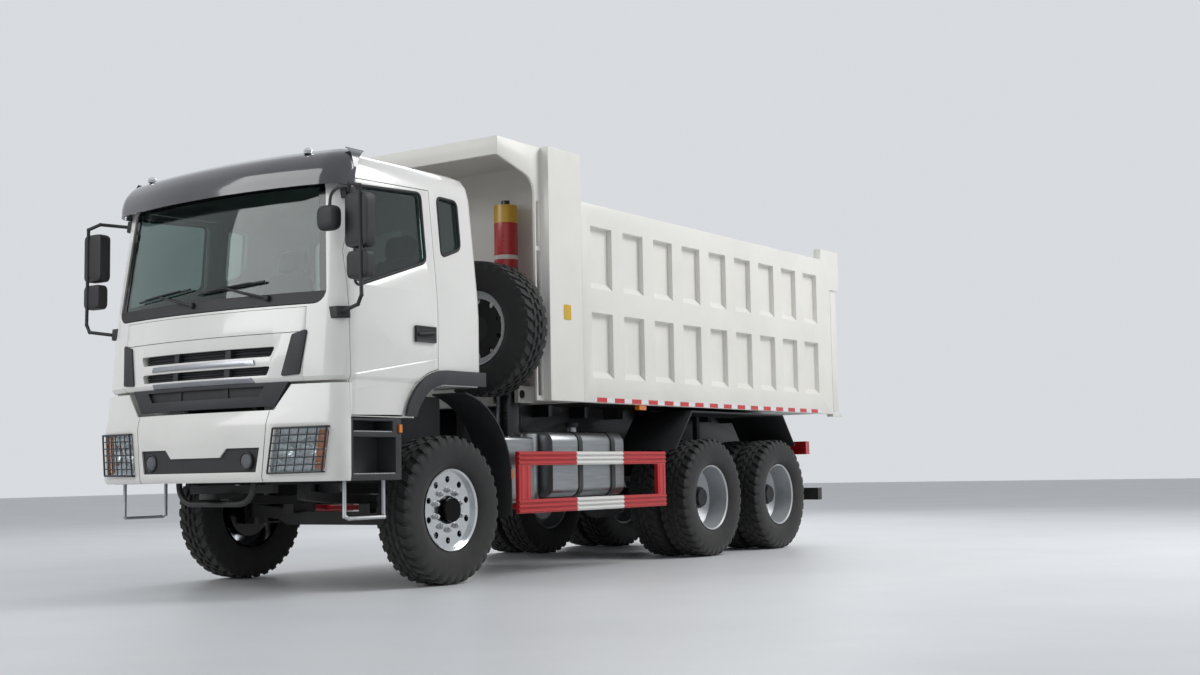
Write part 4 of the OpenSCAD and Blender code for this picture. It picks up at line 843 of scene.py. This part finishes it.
# %% [markdown]
# Marking tape runs along the bed's sill in red on white, and an amber marker sits under it. The tape is a thin block;
# the red pieces are laid on it as separate thin blocks, all in one mesh. A striped material could do the same, but its
# edges would blur.

# %% Sill tape and markers
tape_z, tape_count = (1.374, 1.412), 16
tape_white = finish("prismatic_tape_white", ("#e6e7e8", "#d9dadb"), 30, 5, 0.05, (0.2, 0.35), coat=0.4)
tape_red = finish("prismatic_tape_red", ("#cf2226", "#b81c20"), 30, 5, 0.05, (0.2, 0.35), coat=0.4)
for side, s in sides:
    edge = sorted((s * 1.2455, s * 1.2475))
    reds = sorted((s * 1.2475, s * 1.2485))
    strip_low, strip_high = (edge[0], 1.75 + axle, tape_z[0]), (edge[1], 6.05 + axle, tape_z[1])
    weave(f"sill_tape_{side}", [block(strip_low, strip_high)], "bed", tape_white)
    starts = 1.78 + 4.27 / tape_count * np.arange(tape_count)
    red = [block((reds[0], y + axle, tape_z[0]), (reds[1], y + 0.15 + axle, tape_z[1])) for y in starts]
    weave(f"sill_tape_red_{side}", red, "bed", tape_red)
    lens = sorted((s * 1.19, s * 1.235))
    marker = [block((lens[0], 2.45 + axle, 1.325), (lens[1], 2.56 + axle, 1.372))]
    weave(f"side_marker_{side}", marker, "bed", amber_lens)
print("tape with", len(starts), "red pieces a side")

# %% [markdown]
# The tank has a screw cap with a knurled edge, the steps have bright treads with raised ribs, and a bare yellow plate
# is riveted to the bed's front column. Small pieces like these give a plain solid its scale.

# %% Tank cap, treads and plate
knurl = np.array([[0, 0], [0, 0.052], [0.012, 0.055], [0.034, 0.055], [0.042, 0.048], [0.044, 0]])
grid = lathe(knurl, (0.90, 1.90 + axle, 1.178), "Z", 72)
centre = np.array([0.90, 1.90 + axle])
ripple = 1 + 0.03 * (np.arange(72) % 2)[:, None, None]
grid[..., :2] = centre + (grid[..., :2] - centre) * ripple
moulding("tank_cap", [(grid, True, False)], "chassis")
for side, s in sides:
    treads = []
    for z, y0, y1 in ((1.0985, -1.085, -0.712), (0.8125, -1.085, -0.682)):
        u, v = unit_grid(5, 73)
        x, y = s * (1.05 + 0.172 * u), y0 + (y1 - y0) * v
        rise = 0.003 + 0.003 * (np.cos(2 * np.pi * 12 * v) > 0)
        treads += slab(points_at(x, y, z + rise), points_at(x, y, z))
    weave(f"step_treads_{side}", treads, "chassis", steel)
yellow = finish("enamelled_plate_yellow", ("#d9b02a", "#cda424"), 40, 4, 0.05, (0.3, 0.45), coat=0.3)
weave("column_plate", [pillow((1.246, 1.379 + axle, 2.09), (0.003, 0.05, 0.062), 0.2)], "bed", yellow)
print("cap, treads and plate")

# %% [markdown]
# Behind the lower opening lies a mesh, with a fog lamp at each end, and two dark uprights divide each grille opening.
# The mesh is made of slanted wires that follow the bumper's curve.

# %% Grille mesh, uprights and fog lamps
wires = []
way = np.linspace(0, 1, 21)
for k in range(-22, 23):
    for lean in (-1, 1):
        x = 0.026 * k + lean * (way - 0.5) * 0.15
        keep = np.abs(x) < 0.57
        if keep.sum() > 3:
            z = 0.845 + 0.15 * way[keep]
            wires.append(tube(np.stack([x[keep], bumper_y(x[keep], -0.022), z], -1), 0.0028, 5))
moulding("lower_mesh", wires, "chassis")
fogs, rims = [], []
for s in (-1, 1):
    bowl = np.array([[0.0, 0], [-0.004, 0.03], [-0.002, 0.048], [0.012, 0.05], [0.03, 0.05], [0.03, 0]])
    spot = np.array([s * 0.49, bumper_y(np.array(0.49), -0.006), 0.915])
    fogs.append((lathe(bowl, spot, "Y", 32), True, False))
    ring = np.array([[-0.004, 0.05], [-0.008, 0.056], [-0.004, 0.062], [0.03, 0.062], [0.03, 0.05]])
    rims.append((lathe(ring, spot, "Y", 32), True, True))
fog_glass = finish("smoked_lamp_glass", ("#565a5f", "#44484d"), 60, 8, 0.05, (0.05, 0.12), coat=0.6)
weave("fog_lamps", fogs, "chassis", fog_glass)
moulding("fog_rims", rims, "chassis")
uprights = []
for z0, z1 in ((1.622, 1.69), (1.494, 1.556)):
    for x in (-0.265, 0.265):
        uprights += strip(x - 0.025, x + 0.025, (z0 - 0.004,) * 2, (z1 + 0.004,) * 2, -0.012, 0.04, (5, 5))
    for z in np.linspace(z0 + 0.012, z1 - 0.012, 3):
        x = np.linspace(-0.66, 0.66, 61)
        uprights.append(tube(nose(x, np.full(61, z), -0.045), 0.005, 6))
for x in (-0.24, 0.24):
    uprights += strip(x - 0.022, x + 0.022, (1.348,) * 2, (1.424,) * 2, -0.012, 0.008, (5, 5))
uprights += strip(-0.61, 0.61, (1.345,) * 2, (1.43,) * 2, -0.02, 0.003, (61, 3))
moulding("grille_uprights", uprights, "cab")
print("mesh, fog lamps and uprights")

# %% [markdown]
# A driver's seat is a crowned cushion and a back rest with sewn channels. The superellipsoid gives the stuffed form;
# a cosine across its width presses the channels in. The plain solid is hidden, because cloth is never a block.

# %% Seats
cloth = finish("woven_seat_cloth", ("#2b2d31", "#3a3d43"), 12, 2.5, 0.6, (0.8, 0.95), sheen=0.4)


def cushion(middle_at, reach, lean, channels, s):
    """Superellipsoid with soft edges, channels pressed in by a cosine of X, turned about X by the lean."""
    grid, _, _ = pillow((0, 0, 0), reach, 0.5, (41, 64))
    press = 1 - 0.06 * np.abs(np.cos(np.pi * channels * grid[..., :1] / (2 * reach[0]))) ** 12
    grid = grid * np.concatenate([np.ones_like(press), press, press], -1)
    c, t = math.cos(lean), math.sin(lean)
    grid = grid @ np.array([[1, 0, 0], [0, c, t], [0, -t, c]])
    return grid + np.array([s * middle_at[0], middle_at[1] + axle, middle_at[2]]), False, True


stuffing = []
for s in (-1, 1):
    stuffing.append(cushion((0.58, -0.31, 1.70), (0.27, 0.26, 0.085), math.radians(4), 4, s))
    stuffing.append(cushion((0.58, 0.01, 2.06), (0.26, 0.075, 0.40), math.radians(-12), 4, s))
    stuffing.append(cushion((0.58, 0.112, 2.53), (0.14, 0.055, 0.095), math.radians(-10), 2, s))
seats = weave("seat_cushions", stuffing, "cab", cloth, ("seats",))
stands = [block((s * 0.58 - 0.1, -0.42 + axle, 1.571), (s * 0.58 + 0.1, -0.1 + axle, 1.63)) for s in (-1, 1)]
moulding("seat_stands", stands, "cab", ("seats",))
print("two seats")

# %% [markdown]
# Thin dark joints show where panels meet: the flap's line under the windscreen, and the two joints that divide the
# bumper into a middle and two ends. They are narrow strips laid half a millimetre proud of the paint, much simpler
# than cutting the solids. A bent tow tube hangs under the bumper.

# %% Panel joints and tow tube
bumper_rows = np.array([[0.77, 0.018], [0.80, 0.0], [1.165, 0.0], [1.262, 0.028], [1.425, 0.032]])


def bumper_face(x, z, out):
    """Point on the bumper at x and height z: the plan's arc, set back by the row's own recess."""
    back = np.interp(z, bumper_rows[:, 0], bumper_rows[:, 1])
    return np.stack(np.broadcast_arrays(x, bumper_y(x, out) + back, z), axis=-1)


joint_line = finish("joint_sealant_dark", ("#3a3a3a", "#474746"), 40, 3, 0.1, (0.6, 0.8))
weave("flap_joint", strip(-0.92, 0.92, (1.779,) * 2, (1.783,) * 2, 0.0006, 0.002, (61, 2)), "cab", joint_line)
joints = []
for s in (-1, 1):
    u, v = np.meshgrid(np.linspace(-0.0018, 0.0018, 2), np.linspace(0, 1, 41), indexing="ij")
    z = 0.772 + 0.478 * v
    x = s * (0.625 + 0.045 * v) + u
    joints += slab(bumper_face(x, z, 0.0006), bumper_face(x, z, -0.002))
weave("bumper_joints", joints, "chassis", joint_line)
corners = [(-0.385, -1.2, 0.88), (-0.385, -1.2, 0.70), (-0.30, -1.2, 0.62), (0.30, -1.2, 0.62), (0.385, -1.2, 0.70),
           (0.385, -1.2, 0.88)]
weave("tow_tube", [tube(smooth_path(corners, 0.07, 9) + [0, axle, 0], 0.022, 16)], "chassis", chassis_black)
print("joints and tow tube")

# %% [markdown]
# A small look-down mirror hangs at the top of the left pillar, so that the driver sees the kerb in front of the truck,
# and each front mudguard carries an amber reflector.

# %% Look-down mirror and reflectors
arm = smooth_path([flank(np.array(-1.02), np.array(2.74), -0.01), (1.20, -1.16 + axle, 2.76),
                   (1.19, -1.27 + axle, 2.70), (1.19, -1.28 + axle, 2.58)], 0.06, 8)
moulding("kerb_mirror", [tube(arm, 0.011), pillow((1.19, -1.285 + axle, 2.52), (0.085, 0.05, 0.085), 0.55)], "cab")
spots = [pillow((s * 1.206, 0.664 + axle, 0.79), (0.004, 0.009, 0.04), 0.4) for s in (-1, 1)]
weave("guard_reflectors", spots, "chassis", amber_lens)
print("kerb mirror and reflectors")

# %% [markdown]
# The stage is a pale floor and a soft studio: the key lamp stands high on the truck's left and behind its middle, so
# the panels of the bed keep a shaded edge; a second lamp lights the front, a third the far rear, and the sky is an even
# grey. The camera, mirrors and glass see a brighter sky than the one that lights the truck.

# %% Floor, sky and lamps
floor_mesh = bpy.data.meshes.new("floor")
floor_mesh.from_pydata([(-60, -60, 0), (60, -60, 0), (60, 60, 0), (-60, 60, 0)], [], [(0, 1, 2, 3)])
floor = bpy.data.objects.new("floor", floor_mesh)
floor_mesh.materials.append(finish("pale_concrete", ("#dfe1e3", "#d8dadd"), 1800, 40, 0.2, (0.35, 0.5)))
bpy.context.scene.collection.objects.link(floor)
world = bpy.data.worlds.new("studio")
bpy.context.scene.world = world
world.use_nodes = True
sky = world.node_tree
ray = node(sky, "ShaderNodeLightPath")
seen = node(sky, "ShaderNodeMath", {0: (ray, "Is Camera Ray"), 1: (ray, "Is Glossy Ray")}, operation="MAXIMUM")
seen = node(sky, "ShaderNodeMath", {0: (seen, 0), 1: (ray, "Is Transmission Ray")}, operation="MAXIMUM")
strength = node(sky, "ShaderNodeMapRange", {"Value": (seen, 0)}, {"To Min": 0.42, "To Max": 0.8})
back = sky.nodes["Background"]
back.inputs["Color"].default_value = linear("#eef2f6")
sky.links.new(strength.outputs[0], back.inputs["Strength"])
for name, place, size, power in (("key", (9.0, 4.0, 10.0), 6.0, 950), ("front", (-4.0, -12.0, 7.0), 7.0, 480),
                                 ("rear", (-5.0, 9.0, 8.0), 8.0, 400)):
    lamp = bpy.data.lights.new(name, "AREA")
    lamp.energy, lamp.size = power, size
    light = bpy.data.objects.new(name, lamp)
    light.location = place
    aim = -np.array(place) + np.array([0, 0, 1.2])
    light.rotation_euler = (math.atan2(math.hypot(aim[0], aim[1]), -aim[2]), 0, math.atan2(-aim[0], aim[1]))
    bpy.context.scene.collection.objects.link(light)
print("stage set")
